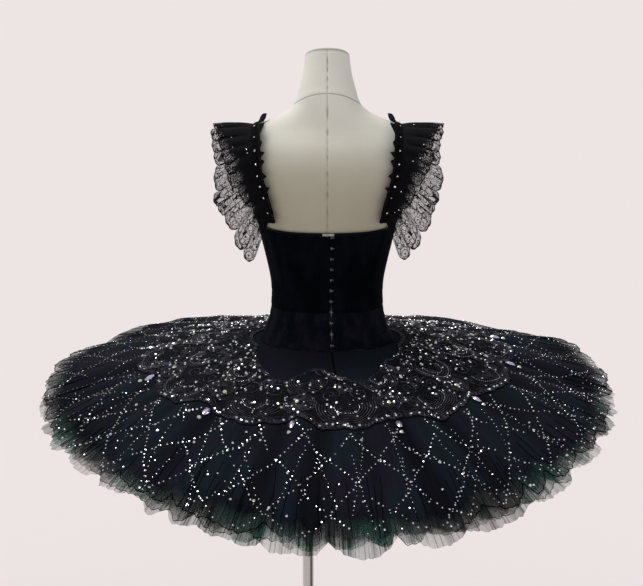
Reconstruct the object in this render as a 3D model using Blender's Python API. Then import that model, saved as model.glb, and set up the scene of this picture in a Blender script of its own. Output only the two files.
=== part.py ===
"""Ballet tutu on a limbless dress form, built piece by piece as it is cut and sewn.

Metres, +Z up, origin on the floor under the body's axis. The front of the body
faces -Y and its laced back faces +Y, so the wearer's left is +X. Angles round the
body start at the centre back and turn towards +X.
"""

import math

import bmesh
import bpy
import numpy as np

# ---------------------------------------------------------------- driving sizes
WAIST_Z = 1.020            # height of the waist seam above the floor
SEAM_GAP = 0.0003          # space left between two pieces that touch
BODY_POWER = 2.25          # squareness of the body's cross-sections (2 = ellipse)

CLOTH_OFF_FORM = 0.0018    # ease between the form and the cloth on it
BODICE_WALL = 0.0020
BASQUE_WALL = 0.0022
KNICKER_WALL = 0.0012
NET_WALL = 0.0010
LACE_WALL = 0.0012
FRILL_WALL = 0.0010

SHARP_ANGLE = 40.0         # edges steeper than this stay crisp
FORM_AROUND = 40
SPOKES = 60                # points round each skirt layer, two to a pleat

BASQUE_DEPTH = 0.0655      # waist seam down to the basque's lower edge
KNICKER_HEM = -0.210
ROOT_EASE = 0.0006         # space between a skirt layer's root and the knickers

RIM_RADIUS = 0.525         # top net, measured to its mean edge
RIM_SCALLOPS = 12
RIM_SCALLOP_DEPTH = 0.005
RIM_DROP = 0.177           # rim below the waist seam, mean
RIM_TILT = 0.060           # back of the rim hangs this much lower, front higher
RIM_SADDLE = 0.024         # sides of the rim lift by this much
SKIRT_CURVE = 1.5          # how late the skirt bends down, 1 = straight cone
PLEAT_DEPTH = 0.0035
LAYER_STEP = 0.008         # distance from one skirt layer down to the next

LACE_REACH = 0.216         # lace plate's outer edge, measured out from the basque
LACE_LOBE = 0.013          # how far its big lobes pass that line
LACE_LOBES = 12
LACE_LOBE_TURN = math.radians(-6.0)
LACE_START = 0.014         # inner edge at the sides and front
LACE_BACK_BAY = 0.082      # extra bare net inside the lace at the back
LACE_BAY_REACH = math.radians(62.0)

OPENING_TURN = math.radians(-3.0)      # where the back closes, round the body
OPENING_HALF_GAP = math.radians(0.45)
SEAM_HALF_GAP = math.radians(0.09)
BINDING_HEIGHT = 0.0045
BINDING_WALL = 0.0028

HOOK_COUNT = 11
HOOK_TOP = 0.142           # first hook above the waist seam
HOOK_PITCH = 0.0199
HOOK_STAND = 0.0010         # hooks and tape end stand this far off the cloth
HOOK_SIZE = (0.0072, 0.0012, 0.0042)   # across, out, up
TAPE_SIZE = (0.0210, 0.0010, 0.0042)
TAPE_TURN = math.radians(-0.4)

STRAP_WIDTH = 0.018
STRAP_WALL = 0.0020
STRAP_STEPS = 24           # places along a strap, shared by its frills
HEADING_WIDTH = 0.015
HEADING_PLEAT = 0.0030
FRILL_PLEAT = 0.0055
FRILL_LEAN = (0.12, 0.60)  # how far its falling ends lean off the body, back and front

POLE_SHIFT = 0.036         # the pole stands this far to the wearer's left
POLE_RADIUS = 0.0102
POLE_SIDES = 24
BASE_RADIUS = 0.190
BASE_HEIGHT = 0.016
BASE_SIDES = 48

# Cross-sections of the form. Heights are from the waist seam; back and front are
# depths from the axis; lean moves a section along Y; tilt raises its back edge.
FORM_COLUMNS = ("height", "half_width", "back", "front", "lean", "tilt")
FORM_SECTIONS = (
    (-0.2350, 0.1260, 0.0920, 0.0850, 0.0000, 0.00),
    (-0.2280, 0.1400, 0.1040, 0.0950, 0.0000, 0.00),
    (-0.2100, 0.1490, 0.1140, 0.1020, 0.0000, 0.00),
    (-0.1700, 0.1510, 0.1190, 0.1050, 0.0000, 0.00),
    (-0.1200, 0.1400, 0.1110, 0.1010, 0.0000, 0.00),
    (-0.0700, 0.1215, 0.0945, 0.0920, 0.0000, 0.00),
    (-0.0400, 0.1080, 0.0845, 0.0850, 0.0000, 0.00),
    (-0.0150, 0.1012, 0.0795, 0.0810, 0.0000, 0.00),
    (0.0150, 0.0985, 0.0785, 0.0800, 0.0000, 0.00),
    (0.0450, 0.0995, 0.0800, 0.0830, 0.0000, 0.00),
    (0.0800, 0.1060, 0.0850, 0.0920, 0.0000, 0.00),
    (0.1200, 0.1155, 0.0910, 0.1080, 0.0000, 0.00),
    (0.1600, 0.1240, 0.0950, 0.1180, 0.0000, 0.00),
    (0.2000, 0.1345, 0.0970, 0.1120, 0.0000, 0.00),
    (0.2400, 0.1490, 0.0955, 0.0980, 0.0000, 0.00),
    (0.2750, 0.1620, 0.0900, 0.0830, 0.0000, 0.00),
    (0.3000, 0.1630, 0.0790, 0.0660, 0.0000, 0.00),
    (0.3180, 0.1520, 0.0660, 0.0520, 0.0000, 0.00),
    (0.3320, 0.1290, 0.0570, 0.0440, 0.0000, 0.00),
    (0.3450, 0.0985, 0.0520, 0.0400, 0.0000, 0.03),
    (0.3560, 0.0760, 0.0500, 0.0385, 0.0000, 0.10),
    (0.3650, 0.0640, 0.0490, 0.0400, 0.0000, 0.20),
    (0.3730, 0.0582, 0.0490, 0.0430, -0.0010, 0.34),
    (0.3900, 0.0530, 0.0465, 0.0440, -0.0040, 0.36),
    (0.4200, 0.0448, 0.0425, 0.0420, -0.0090, 0.40),
    (0.4530, 0.0400, 0.0390, 0.0390, -0.0140, 0.44),
)
CAP_GAP_RISE = 0.0004      # seam between the neck and its cap
CAP_SECTIONS = ((0.0000, 1.000), (0.0022, 0.960), (0.0042, 0.860), (0.0060, 0.660), (0.0070, 0.360))

# Top edge of the bodice: angle round the body and height above the waist seam.
TOP_EDGE = ((0.0, 0.1450), (47.0, 0.1470), (90.0, 0.1560), (132.0, 0.1960), (180.0, 0.1820))

# Bodice panels on the wearer's left: first and last seam, and strips across.
PANELS = (
    ("back", -3.0, 47.0, 4),
    ("side_back", 47.0, 90.0, 3),
    ("side_front", 90.0, 132.0, 4),
)
FRONT_PANEL = (132.0, 228.0, 10)
PANEL_ROWS = 7

# Straps: direction from the shoulder's middle, where 0 is straight back and 90 straight
# up, and distance from the body's middle plane.
STRAP_MIDDLE_Z = 0.240
STRAP_PATH = ((-50.0, 0.0985), (-25.0, 0.1100), (0.0, 0.1190), (35.0, 0.1255), (75.0, 0.1285),
              (105.0, 0.1270), (145.0, 0.1180), (180.0, 0.1040), (198.0, 0.0965))

# Wide frill: place along the strap (0 back, 1 front), width, and fall from level.
FRILL_SHAPE = ((0.00, 0.066, 68.0), (0.06, 0.072, 52.0), (0.12, 0.068, 38.0), (0.18, 0.070, 30.0),
               (0.25, 0.067, 24.0), (0.32, 0.061, 17.0), (0.50, 0.062, 0.0), (0.68, 0.061, 17.0),
               (0.75, 0.067, 24.0), (0.88, 0.068, 38.0), (1.00, 0.060, 60.0))
FRILL_LIFT = 0.0035        # frill and heading stand this far off the strap's base

# Skirt layers below the top net: name, rim past the net's, rows along a spoke.
TULLE_LAYERS = (("tulle_upper", 0.006), ("tulle_second", 0.009), ("tulle_third", 0.007), ("tulle_lowest", -0.020))
TULLE_ROWS = (0.0, 0.30, 0.65, 1.0)
NET_OUTER_ROWS = (0.76, 1.0)


# ------------------------------------------------------------------ small maths
def curve_value(points, x):
    """Smooth curve through (x, y) points, read at x."""
    xs = [row[0] for row in points]
    ys = [row[1] for row in points]
    if x <= xs[0]:
        return ys[0]
    if x >= xs[-1]:
        return ys[-1]
    slopes = np.gradient(ys, xs)
    i = max(k for k in range(len(xs) - 1) if xs[k] <= x)
    step = xs[i + 1] - xs[i]
    u = (x - xs[i]) / step
    start = (1 + 2 * u) * (1 - u) ** 2 * ys[i] + u * (1 - u) ** 2 * step * slopes[i]
    end = u * u * (3 - 2 * u) * ys[i + 1] + u * u * (u - 1) * step * slopes[i + 1]
    return start + end


def table_value(table, column, x):
    """Smooth value of one column of a table whose first column is x."""
    return curve_value([(row[0], row[column]) for row in table], x)


def soft_step(x):
    """0 below 0, 1 above 1, smooth between."""
    x = min(max(x, 0.0), 1.0)
    return x * x * (3 - 2 * x)


def signed_power(value, power):
    return math.copysign(abs(value) ** power, value)


def wrapped(angle):
    """The angle brought between -pi and pi."""
    return math.atan2(math.sin(angle), math.cos(angle))


# -------------------------------------------------------------------- mesh tools
def make_object(name, vertices, faces, material):
    """One closed body with its faces outwards."""
    mesh = bpy.data.meshes.new(name)
    bm = bmesh.new()
    corners = [bm.verts.new(point) for point in vertices]
    for face in faces:
        bm.faces.new([corners[i] for i in face])
    bmesh.ops.recalc_face_normals(bm, faces=bm.faces)
    if bm.calc_volume(signed=True) < 0:
        bmesh.ops.reverse_faces(bm, faces=bm.faces)
    bm.to_mesh(mesh)
    bm.free()
    mesh.shade_smooth()
    mesh.set_sharp_from_angle(angle=math.radians(SHARP_ANGLE))
    mesh.materials.append(material)
    obj = bpy.data.objects.new(name, mesh)
    bpy.context.scene.collection.objects.link(obj)
    return obj


def make_wall(name, under, over, material, closed=False):
    """A wall between two grids of points, each a list of rows; closed joins row ends."""
    rows, columns = len(under), len(under[0])
    vertices = [point for grid in (under, over) for row in grid for point in row]
    strips = columns if closed else columns - 1

    def index(side, row, column):
        return (side * rows + row) * columns + column % columns

    faces = []
    for row in range(rows - 1):
        for column in range(strips):
            for side in (0, 1):
                faces.append([index(side, row, column), index(side, row, column + 1),
                              index(side, row + 1, column + 1), index(side, row + 1, column)])
    for row in (0, rows - 1):
        for column in range(strips):
            faces.append([index(0, row, column), index(0, row, column + 1),
                          index(1, row, column + 1), index(1, row, column)])
    if not closed:
        for column in (0, columns - 1):
            for row in range(rows - 1):
                faces.append([index(0, row, column), index(0, row + 1, column),
                              index(1, row + 1, column), index(1, row, column)])
    return make_object(name, vertices, faces, material)


def make_stack(name, rings, material):
    """A solid through rings of points, closed flat at both ends."""
    count = len(rings[0])
    vertices = [point for ring in rings for point in ring]
    faces = []
    for level in range(len(rings) - 1):
        for i in range(count):
            j = (i + 1) % count
            low, high = level * count, (level + 1) * count
            faces.append([low + i, low + j, high + j, high + i])
    faces.append(list(range(count)))
    faces.append(list(range((len(rings) - 1) * count, len(rings) * count)))
    return make_object(name, vertices, faces, material)


def make_material(name, color, roughness, metallic=0.0):
    material = bpy.data.materials.new(name)
    material.use_nodes = True
    shader = material.node_tree.nodes["Principled BSDF"]
    shader.inputs["Base Color"].default_value = (*color, 1.0)
    shader.inputs["Roughness"].default_value = roughness
    shader.inputs["Metallic"].default_value = metallic
    return material


# --------------------------------------------------------------------- the body
def body_point(turn, height, out=0.0):
    """Point on the body, moved out by a distance. Turn 0 is the centre back."""
    half_width, back, front, lean, tilt = (
        table_value(FORM_SECTIONS, FORM_COLUMNS.index(name), height) for name in FORM_COLUMNS[1:]
    )
    depth = back if math.cos(turn) > 0 else front
    x = (half_width + out) * signed_power(math.sin(turn), 2 / BODY_POWER)
    y = (depth + out) * signed_power(math.cos(turn), 2 / BODY_POWER)
    return (x, y + lean, WAIST_Z + height + tilt * y)


def body_level(x, y, height):
    """Below 1 inside the body, 1 on its surface, more outside it."""
    half_width, back, front = (table_value(FORM_SECTIONS, column, height) for column in (1, 2, 3))
    depth = back if y > 0 else front
    return abs(x / half_width) ** BODY_POWER + abs(y / depth) ** BODY_POWER


def body_normal(point):
    """Outward direction of the body's surface near a point on it."""
    here = np.array(point) - np.array((0.0, 0.0, WAIST_Z))
    probe = 0.002
    slope = [body_level(*(here + step)) - body_level(*(here - step)) for step in np.eye(3) * probe]
    return np.array(slope) / np.linalg.norm(slope)


def over_shoulder(out, turn):
    """Where a ray from inside the shoulder, at this distance from the axis, leaves the body."""
    near, far = 0.0, 0.2
    for _ in range(40):
        reach = (near + far) / 2
        y = reach * math.cos(turn)
        height = STRAP_MIDDLE_Z + reach * math.sin(turn)
        if body_level(out, y, height) < 1:
            near = reach
        else:
            far = reach
    return np.array((out, near * math.cos(turn), WAIST_Z + STRAP_MIDDLE_Z + near * math.sin(turn)))


def build_form(cover, cap_cover):
    heights = [row[0] for row in FORM_SECTIONS]
    turns = [math.tau * i / FORM_AROUND for i in range(FORM_AROUND)]
    make_stack("form_torso", [[body_point(t, h) for t in turns] for h in heights], cover)
    top = heights[-1]
    lean = FORM_SECTIONS[-1][FORM_COLUMNS.index("lean")]
    centre = np.array((0.0, lean, 0.0))
    rings = []
    for rise, scale in CAP_SECTIONS:
        ring = []
        for t in turns:
            edge = np.array(body_point(t, top)) - centre
            flat = edge * np.array((scale, scale, 0.0))
            level = WAIST_Z + top + (edge[2] - WAIST_Z - top) * scale
            ring.append(tuple(flat + centre + np.array((0.0, 0.0, level + CAP_GAP_RISE + rise))))
        rings.append(ring)
    make_stack("form_neck_cap", rings, cap_cover)


def circle(radius, height, sides):
    return [(POLE_SHIFT + radius * math.cos(math.tau * i / sides),
             radius * math.sin(math.tau * i / sides), height) for i in range(sides)]


def build_stand(pole_metal, base_metal):
    pole_top = WAIST_Z + FORM_SECTIONS[0][0] - SEAM_GAP
    pole_foot = BASE_HEIGHT + SEAM_GAP
    make_stack("stand_pole", [circle(POLE_RADIUS, z, POLE_SIDES) for z in (pole_foot, pole_top)], pole_metal)
    bevel = BASE_HEIGHT / 4
    outline = ((BASE_RADIUS - bevel / 2, 0.0), (BASE_RADIUS, bevel / 2), (BASE_RADIUS, BASE_HEIGHT - 2 * bevel),
               (BASE_RADIUS - 2 * bevel, BASE_HEIGHT - bevel / 2), (POLE_RADIUS * 2.5, BASE_HEIGHT))
    make_stack("stand_base", [circle(r, z, BASE_SIDES) for r, z in outline], base_metal)


# ------------------------------------------------------------------- the bodice
def top_edge(turn):
    return curve_value(TOP_EDGE, abs(math.degrees(wrapped(turn))))


def even_turns(first, last, strips):
    return [first + (last - first) * i / strips for i in range(strips + 1)]


def body_panel(name, turns, low, high, wall, material, rows):
    """A panel of cloth on the body over these angles, from low(turn) up to high(turn)."""
    grids = []
    for out in (CLOTH_OFF_FORM, CLOTH_OFF_FORM + wall):
        grid = []
        for row in range(rows + 1):
            share = row / rows
            grid.append([body_point(t, low(t) + (high(t) - low(t)) * share, out) for t in turns])
        grids.append(grid)
    return make_wall(name, *grids, material)


def build_bodice(velvet):
    def low(_turn):
        return SEAM_GAP

    for name, first, last, strips in PANELS:
        for side, sign in (("left", 1), ("right", -1)):
            start = OPENING_TURN + sign * OPENING_HALF_GAP if name == "back" else sign * math.radians(first)
            if name != "back":
                start += sign * SEAM_HALF_GAP
            turns = even_turns(start, sign * (math.radians(last) - SEAM_HALF_GAP), strips)
            body_panel(f"bodice_{name}_{side}", turns, low, top_edge, BODICE_WALL, velvet, PANEL_ROWS)
    first, last, strips = FRONT_PANEL
    turns = even_turns(math.radians(first) + SEAM_HALF_GAP, math.radians(last) - SEAM_HALF_GAP, strips)
    body_panel("bodice_front", turns, low, top_edge, BODICE_WALL, velvet, PANEL_ROWS)


def build_binding(satin):
    def low(turn):
        return top_edge(turn) + SEAM_GAP

    def high(turn):
        return low(turn) + BINDING_HEIGHT

    turns = []
    for _, first, last, strips in PANELS:
        turns += even_turns(math.radians(first), math.radians(last), strips)[:-1]
    turns[0] = OPENING_TURN + OPENING_HALF_GAP
    first, last, strips = FRONT_PANEL
    turns += even_turns(math.radians(first), math.radians(last), strips)[:-1]
    for _, first, last, strips in reversed(PANELS):
        turns += [math.tau - turn for turn in even_turns(math.radians(last), math.radians(first), strips)[:-1]]
    turns.append(math.tau + OPENING_TURN - OPENING_HALF_GAP)
    body_panel("top_binding", turns, low, high, BINDING_WALL, satin, 1)


def build_basque(velvet):
    def low(_turn):
        return -BASQUE_DEPTH

    def high(_turn):
        return -SEAM_GAP

    side = math.radians(90.0)
    pieces = (
        ("basque_back_left", OPENING_TURN + OPENING_HALF_GAP, side - SEAM_HALF_GAP, 7),
        ("basque_back_right", OPENING_TURN - OPENING_HALF_GAP, -side + SEAM_HALF_GAP, 7),
        ("basque_front", side + SEAM_HALF_GAP, 3 * side - SEAM_HALF_GAP, 14),
    )
    for name, first, last, strips in pieces:
        body_panel(name, even_turns(first, last, strips), low, high, BASQUE_WALL, velvet, 2)


def small_block(name, turn, height, size, out, material):
    """A small block lying flat on the body at this angle and height."""
    here = np.array(body_point(turn, height, out))
    across = np.array(body_point(turn + 0.01, height, out)) - np.array(body_point(turn - 0.01, height, out))
    up = np.array(body_point(turn, height + 0.002, out)) - np.array(body_point(turn, height - 0.002, out))
    across /= np.linalg.norm(across)
    up /= np.linalg.norm(up)
    outward = np.cross(up, across)
    if outward[1] < 0:
        outward = -outward
    wide, thick, tall = size
    grids = []
    for level in (0.0, thick):
        grids.append([[tuple(here + outward * level + across * a * wide / 2 + up * b * tall / 2)
                       for a in (-1, 1)] for b in (-1, 1)])
    return make_wall(name, *grids, material)


def build_closure(metal, tape):
    cloth = CLOTH_OFF_FORM + max(BODICE_WALL, BASQUE_WALL) + HOOK_STAND
    for number in range(HOOK_COUNT):
        height = HOOK_TOP - HOOK_PITCH * number
        small_block(f"hook_{number + 1:02d}", OPENING_TURN, height, HOOK_SIZE, cloth, metal)
    height = top_edge(TAPE_TURN) + BINDING_HEIGHT / 2
    outside = CLOTH_OFF_FORM + BINDING_WALL + HOOK_STAND
    small_block("hook_tape_end", TAPE_TURN, height, TAPE_SIZE, outside, tape)


# ------------------------------------------------------------ straps and frills
def strap_frames(side):
    """Middle line of a strap from back to front: point, outward, sideways."""
    turns = np.linspace(STRAP_PATH[0][0], STRAP_PATH[-1][0], STRAP_STEPS + 1)
    points = [over_shoulder(curve_value(STRAP_PATH, turn), math.radians(turn)) for turn in turns]
    frames = []
    for i, point in enumerate(points):
        along = points[min(i + 1, STRAP_STEPS)] - points[max(i - 1, 0)]
        along /= np.linalg.norm(along)
        normal = body_normal(point)
        outward = normal - along * normal.dot(along)
        outward /= np.linalg.norm(outward)
        sideways = np.cross(along, outward)
        if sideways[0] < 0:
            sideways = -sideways
        mirror = np.array((side, 1.0, 1.0))
        frames.append([vector * mirror for vector in (point, outward, sideways)])
    return frames


def build_strap(side_name, side, elastic):
    grids = []
    for level in (CLOTH_OFF_FORM, CLOTH_OFF_FORM + STRAP_WALL):
        grids.append([[tuple(p + outward * level + sideways * a * STRAP_WIDTH / 2)
                       for p, outward, sideways in strap_frames(side)] for a in (-1, 1)])
    make_wall(f"strap_{side_name}", *grids, elastic)


def build_heading(side_name, side, lace):
    """The narrow pleated heading, from the strap's inner edge towards the neck."""
    grids = []
    for level in (0.0, FRILL_WALL):
        grid = [[], []]
        for i, (p, outward, sideways) in enumerate(strap_frames(side)):
            root = p + outward * (FRILL_LIFT + level) - sideways * (STRAP_WIDTH / 2 + SEAM_GAP)
            pleat = HEADING_PLEAT * (1 if i % 2 else -1)
            edge = root + outward * (HEADING_PLEAT + pleat) - sideways * HEADING_WIDTH
            grid[0].append(tuple(root))
            grid[1].append(tuple(edge))
        grids.append(grid)
    make_wall(f"frill_heading_{side_name}", *grids, lace)


def build_frill(side_name, side, lace):
    """The wide lace frill, from the strap's outer edge over and behind the shoulder."""
    grids = []
    for level in (0.0, FRILL_WALL):
        grid = [[], [], []]
        for i, (p, outward, sideways) in enumerate(strap_frames(side)):
            place = i / STRAP_STEPS
            width = table_value(FRILL_SHAPE, 1, place)
            fall = math.radians(table_value(FRILL_SHAPE, 2, place))
            lean = FRILL_LEAN[0] if place < 0.5 else -FRILL_LEAN[1]
            spread = np.array((side * math.cos(fall), lean * math.sin(fall), -math.sin(fall)))
            root = p + outward * (FRILL_LIFT + level) + sideways * (STRAP_WIDTH / 2 + SEAM_GAP)
            pleat = FRILL_PLEAT * (1 if i % 2 else -1)
            for row, share in enumerate((0.0, 0.45, 1.0)):
                rise = outward * (pleat + FRILL_PLEAT) * share
                grid[row].append(tuple(root + spread * width * share + rise))
        grids.append(grid)
    make_wall(f"frill_wide_{side_name}", *grids, lace)


# -------------------------------------------------------------------- the skirt
def rim_point(turn, extra):
    radius = RIM_RADIUS + extra + RIM_SCALLOP_DEPTH * math.cos(RIM_SCALLOPS * turn)
    drop = RIM_DROP + RIM_TILT * math.cos(turn) + RIM_SADDLE * math.cos(2 * turn)
    return np.array((radius * math.sin(turn), radius * math.cos(turn), WAIST_Z - drop))


def root_point(turn, below, level):
    """Where a skirt layer is sewn to the knickers."""
    height = -BASQUE_DEPTH - SEAM_GAP - NET_WALL - below + level
    out = CLOTH_OFF_FORM + KNICKER_WALL + ROOT_EASE
    return np.array(body_point(turn, height, out))


def skirt_point(spoke, share, layer=0, extra=0.0, level=0.0):
    """Point on a skirt layer: share 0 at the hips, 1 at the rim; level lifts it off the layer."""
    turn = math.tau * spoke / SPOKES
    root = root_point(turn, layer * LAYER_STEP, level)
    rim = rim_point(turn, extra)
    point = root + (rim - root) * share
    pleat = PLEAT_DEPTH * share ** SKIRT_CURVE * (1 if spoke % 2 else -1)
    bent = (rim[2] - layer * LAYER_STEP + level - root[2]) * share ** SKIRT_CURVE
    return (point[0], point[1], root[2] + bent + pleat)


def spoke_share(spoke, reach):
    """Share of a spoke that lies this far out from the basque."""
    turn = math.tau * spoke / SPOKES
    length = np.linalg.norm((rim_point(turn, 0.0) - root_point(turn, 0.0, 0.0))[:2])
    return reach / length


def lace_edges(spoke):
    """Inner and outer edge of the lace plate on one spoke, as distances from the basque."""
    turn = math.tau * spoke / SPOKES
    lobe = abs(math.cos(LACE_LOBES / 2 * (turn - LACE_LOBE_TURN)))
    from_back = abs(wrapped(turn - LACE_LOBE_TURN))
    bay = LACE_BACK_BAY * soft_step(1.6 * (1 - from_back / LACE_BAY_REACH))
    return LACE_START + bay, LACE_REACH + LACE_LOBE * (lobe - 0.5) * 2


def skirt_wall(name, rows, layer, extra, low, high, material):
    """A skirt layer or what lies on it; rows gives the shares along each spoke."""
    grids = []
    for level in (low, high):
        grid = []
        for row in range(len(rows(0))):
            grid.append([skirt_point(spoke, rows(spoke)[row], layer, extra, level) for spoke in range(SPOKES)])
        grids.append(grid)
    return make_wall(name, *grids, material, closed=True)


def build_skirt(net, tulle, lace):
    def net_rows(spoke):
        inner, outer = (spoke_share(spoke, reach) for reach in lace_edges(spoke))
        return (0.0, inner, (inner + outer) / 2, outer, *NET_OUTER_ROWS)

    def lace_rows(spoke):
        return net_rows(spoke)[1:4]

    def tulle_rows(_spoke):
        return TULLE_ROWS

    skirt_wall("net_overlay", net_rows, 0, 0.0, 0.0, NET_WALL, net)
    lace_low = NET_WALL + SEAM_GAP * 2
    skirt_wall("lace_plate", lace_rows, 0, 0.0, lace_low, lace_low + LACE_WALL, lace)
    for number, (name, extra) in enumerate(TULLE_LAYERS):
        skirt_wall(name, tulle_rows, number + 1, extra, 0.0, NET_WALL, tulle)


def build_knickers(stretch):
    top = -BASQUE_DEPTH - SEAM_GAP
    heights = [row[0] for row in FORM_SECTIONS if KNICKER_HEM <= row[0] < top] + [top]
    turns = [math.tau * i / FORM_AROUND for i in range(FORM_AROUND)]
    grids = []
    for out in (CLOTH_OFF_FORM, CLOTH_OFF_FORM + KNICKER_WALL):
        grids.append([[body_point(t, h, out) for t in turns] for h in heights])
    make_wall("knickers", *grids, stretch, closed=True)


def main():
    for obj in list(bpy.data.objects):
        bpy.data.objects.remove(obj, do_unlink=True)
    form_cover = make_material("form_cover", (0.74, 0.71, 0.62), 0.75)
    cap_cover = make_material("form_cap_cover", (0.68, 0.66, 0.58), 0.75)
    pole_metal = make_material("stand_metal", (0.80, 0.78, 0.74), 0.25, 1.0)
    base_metal = make_material("base_metal", (0.62, 0.60, 0.57), 0.35, 1.0)
    velvet = make_material("bodice_velvet", (0.006, 0.008, 0.014), 0.85)
    basque = make_material("basque_velvet", (0.010, 0.011, 0.020), 0.90)
    satin = make_material("binding_satin", (0.004, 0.004, 0.006), 0.45)
    elastic = make_material("strap_elastic", (0.006, 0.006, 0.008), 0.80)
    lace = make_material("lace_black", (0.004, 0.004, 0.006), 0.60)
    net = make_material("net_black", (0.010, 0.012, 0.018), 0.80)
    tulle = make_material("tulle_dark", (0.006, 0.012, 0.014), 0.85)
    stretch = make_material("knicker_stretch", (0.005, 0.005, 0.007), 0.80)
    metal = make_material("hook_metal", (0.85, 0.85, 0.86), 0.20, 1.0)
    tape = make_material("tape_white", (0.85, 0.85, 0.83), 0.80)

    build_form(form_cover, cap_cover)
    build_stand(pole_metal, base_metal)
    build_knickers(stretch)
    build_skirt(net, tulle, lace)
    build_basque(basque)
    build_bodice(velvet)
    build_binding(satin)
    build_closure(metal, tape)
    for side_name, side in (("left", 1.0), ("right", -1.0)):
        build_strap(side_name, side, elastic)
        build_heading(side_name, side, lace)
        build_frill(side_name, side, lace)


main()
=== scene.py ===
"""Ballet tutu on a limbless dress form: cloth, lace, net, stones and stand, finished piece by piece."""

import logging
import math
from dataclasses import dataclass
from enum import Enum
from math import pi, radians, tau
from typing import Any, Iterable, Sequence

import bmesh
import bpy
import numpy as np
from bpy.types import Material, Mesh, Node, NodeSocket, NodeTree, Object
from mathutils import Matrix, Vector
from numpy import arange, cos, exp, linspace, sin, stack


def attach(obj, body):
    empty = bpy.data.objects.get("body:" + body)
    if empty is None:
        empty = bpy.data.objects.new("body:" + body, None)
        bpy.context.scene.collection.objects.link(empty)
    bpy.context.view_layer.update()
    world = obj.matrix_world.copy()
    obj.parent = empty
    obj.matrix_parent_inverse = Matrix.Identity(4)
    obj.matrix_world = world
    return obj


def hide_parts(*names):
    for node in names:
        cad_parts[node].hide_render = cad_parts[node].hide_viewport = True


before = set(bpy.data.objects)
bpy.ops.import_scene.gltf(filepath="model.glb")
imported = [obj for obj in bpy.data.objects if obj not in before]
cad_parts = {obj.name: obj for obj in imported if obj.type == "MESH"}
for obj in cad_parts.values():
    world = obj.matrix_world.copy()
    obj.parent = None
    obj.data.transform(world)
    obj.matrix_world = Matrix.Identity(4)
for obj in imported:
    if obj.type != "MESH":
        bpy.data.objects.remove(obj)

LOG = logging.getLogger("tutu")
Array = np.ndarray
Color = tuple[float, float, float]
Rows = Sequence[Sequence[float]]

ROOT = "root"

# Cross-sections of the form: height from the waist seam, half width, depth behind
# the axis, depth in front of it, lean along Y, and tilt of the section.
FORM_SECTIONS = (
    (-.235, .126, .092, .085, 0, 0), (-.228, .14, .104, .095, 0, 0),
    (-.21, .149, .114, .102, 0, 0), (-.17, .151, .119, .105, 0, 0),
    (-.12, .14, .111, .101, 0, 0), (-.07, .1215, .0945, .092, 0, 0),
    (-.04, .108, .0845, .085, 0, 0), (-.015, .1012, .0795, .081, 0, 0),
    (.015, .0985, .0785, .08, 0, 0), (.045, .0995, .08, .083, 0, 0),
    (.08, .106, .085, .092, 0, 0), (.12, .1155, .091, .108, 0, 0),
    (.16, .124, .095, .118, 0, 0), (.2, .1345, .097, .112, 0, 0),
    (.24, .149, .0955, .098, 0, 0), (.275, .162, .09, .083, 0, 0),
    (.3, .163, .079, .066, 0, 0), (.318, .152, .066, .052, 0, 0),
    (.332, .129, .057, .044, 0, 0), (.345, .0985, .052, .04, 0, .03),
    (.356, .076, .05, .0385, 0, .1), (.365, .064, .049, .04, 0, .2),
    (.373, .0582, .049, .043, -.001, .34), (.39, .053, .0465, .044, -.004, .36),
    (.42, .0448, .0425, .042, -.009, .4), (.453, .04, .039, .039, -.014, .44),
)

# Angle of the hooked opening from the centre back, and the hips' mean radius.
OPENING = -3.0
HIPS = 0.115

# Top edge of the bodice: angle from the centre back, height above the waist seam.
TOP_EDGE = ((0.0, 0.145), (47.0, 0.147), (90.0, 0.156), (132.0, 0.196), (180.0, 0.182))

# Strap path over the shoulder: direction from the shoulder's middle, distance from
# the middle of the body.
STRAP_PATH = ((-50.0, 0.0985), (-25.0, 0.11), (0.0, 0.119), (35.0, 0.1255), (75.0, 0.1285),
              (105.0, 0.127), (145.0, 0.118), (180.0, 0.104), (198.0, 0.0965))

# Wide frill: place along the strap (0 back, 1 front), width, fall from level.
FRILL_SHAPE = ((0.0, 0.056, 66.0), (0.06, 0.064, 52.0), (0.12, 0.068, 38.0), (0.18, 0.07, 30.0),
               (0.25, 0.067, 24.0), (0.32, 0.061, 17.0), (0.5, 0.062, 0.0), (0.68, 0.061, 17.0),
               (0.75, 0.067, 24.0), (0.88, 0.068, 38.0), (1.0, 0.06, 60.0))

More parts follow.
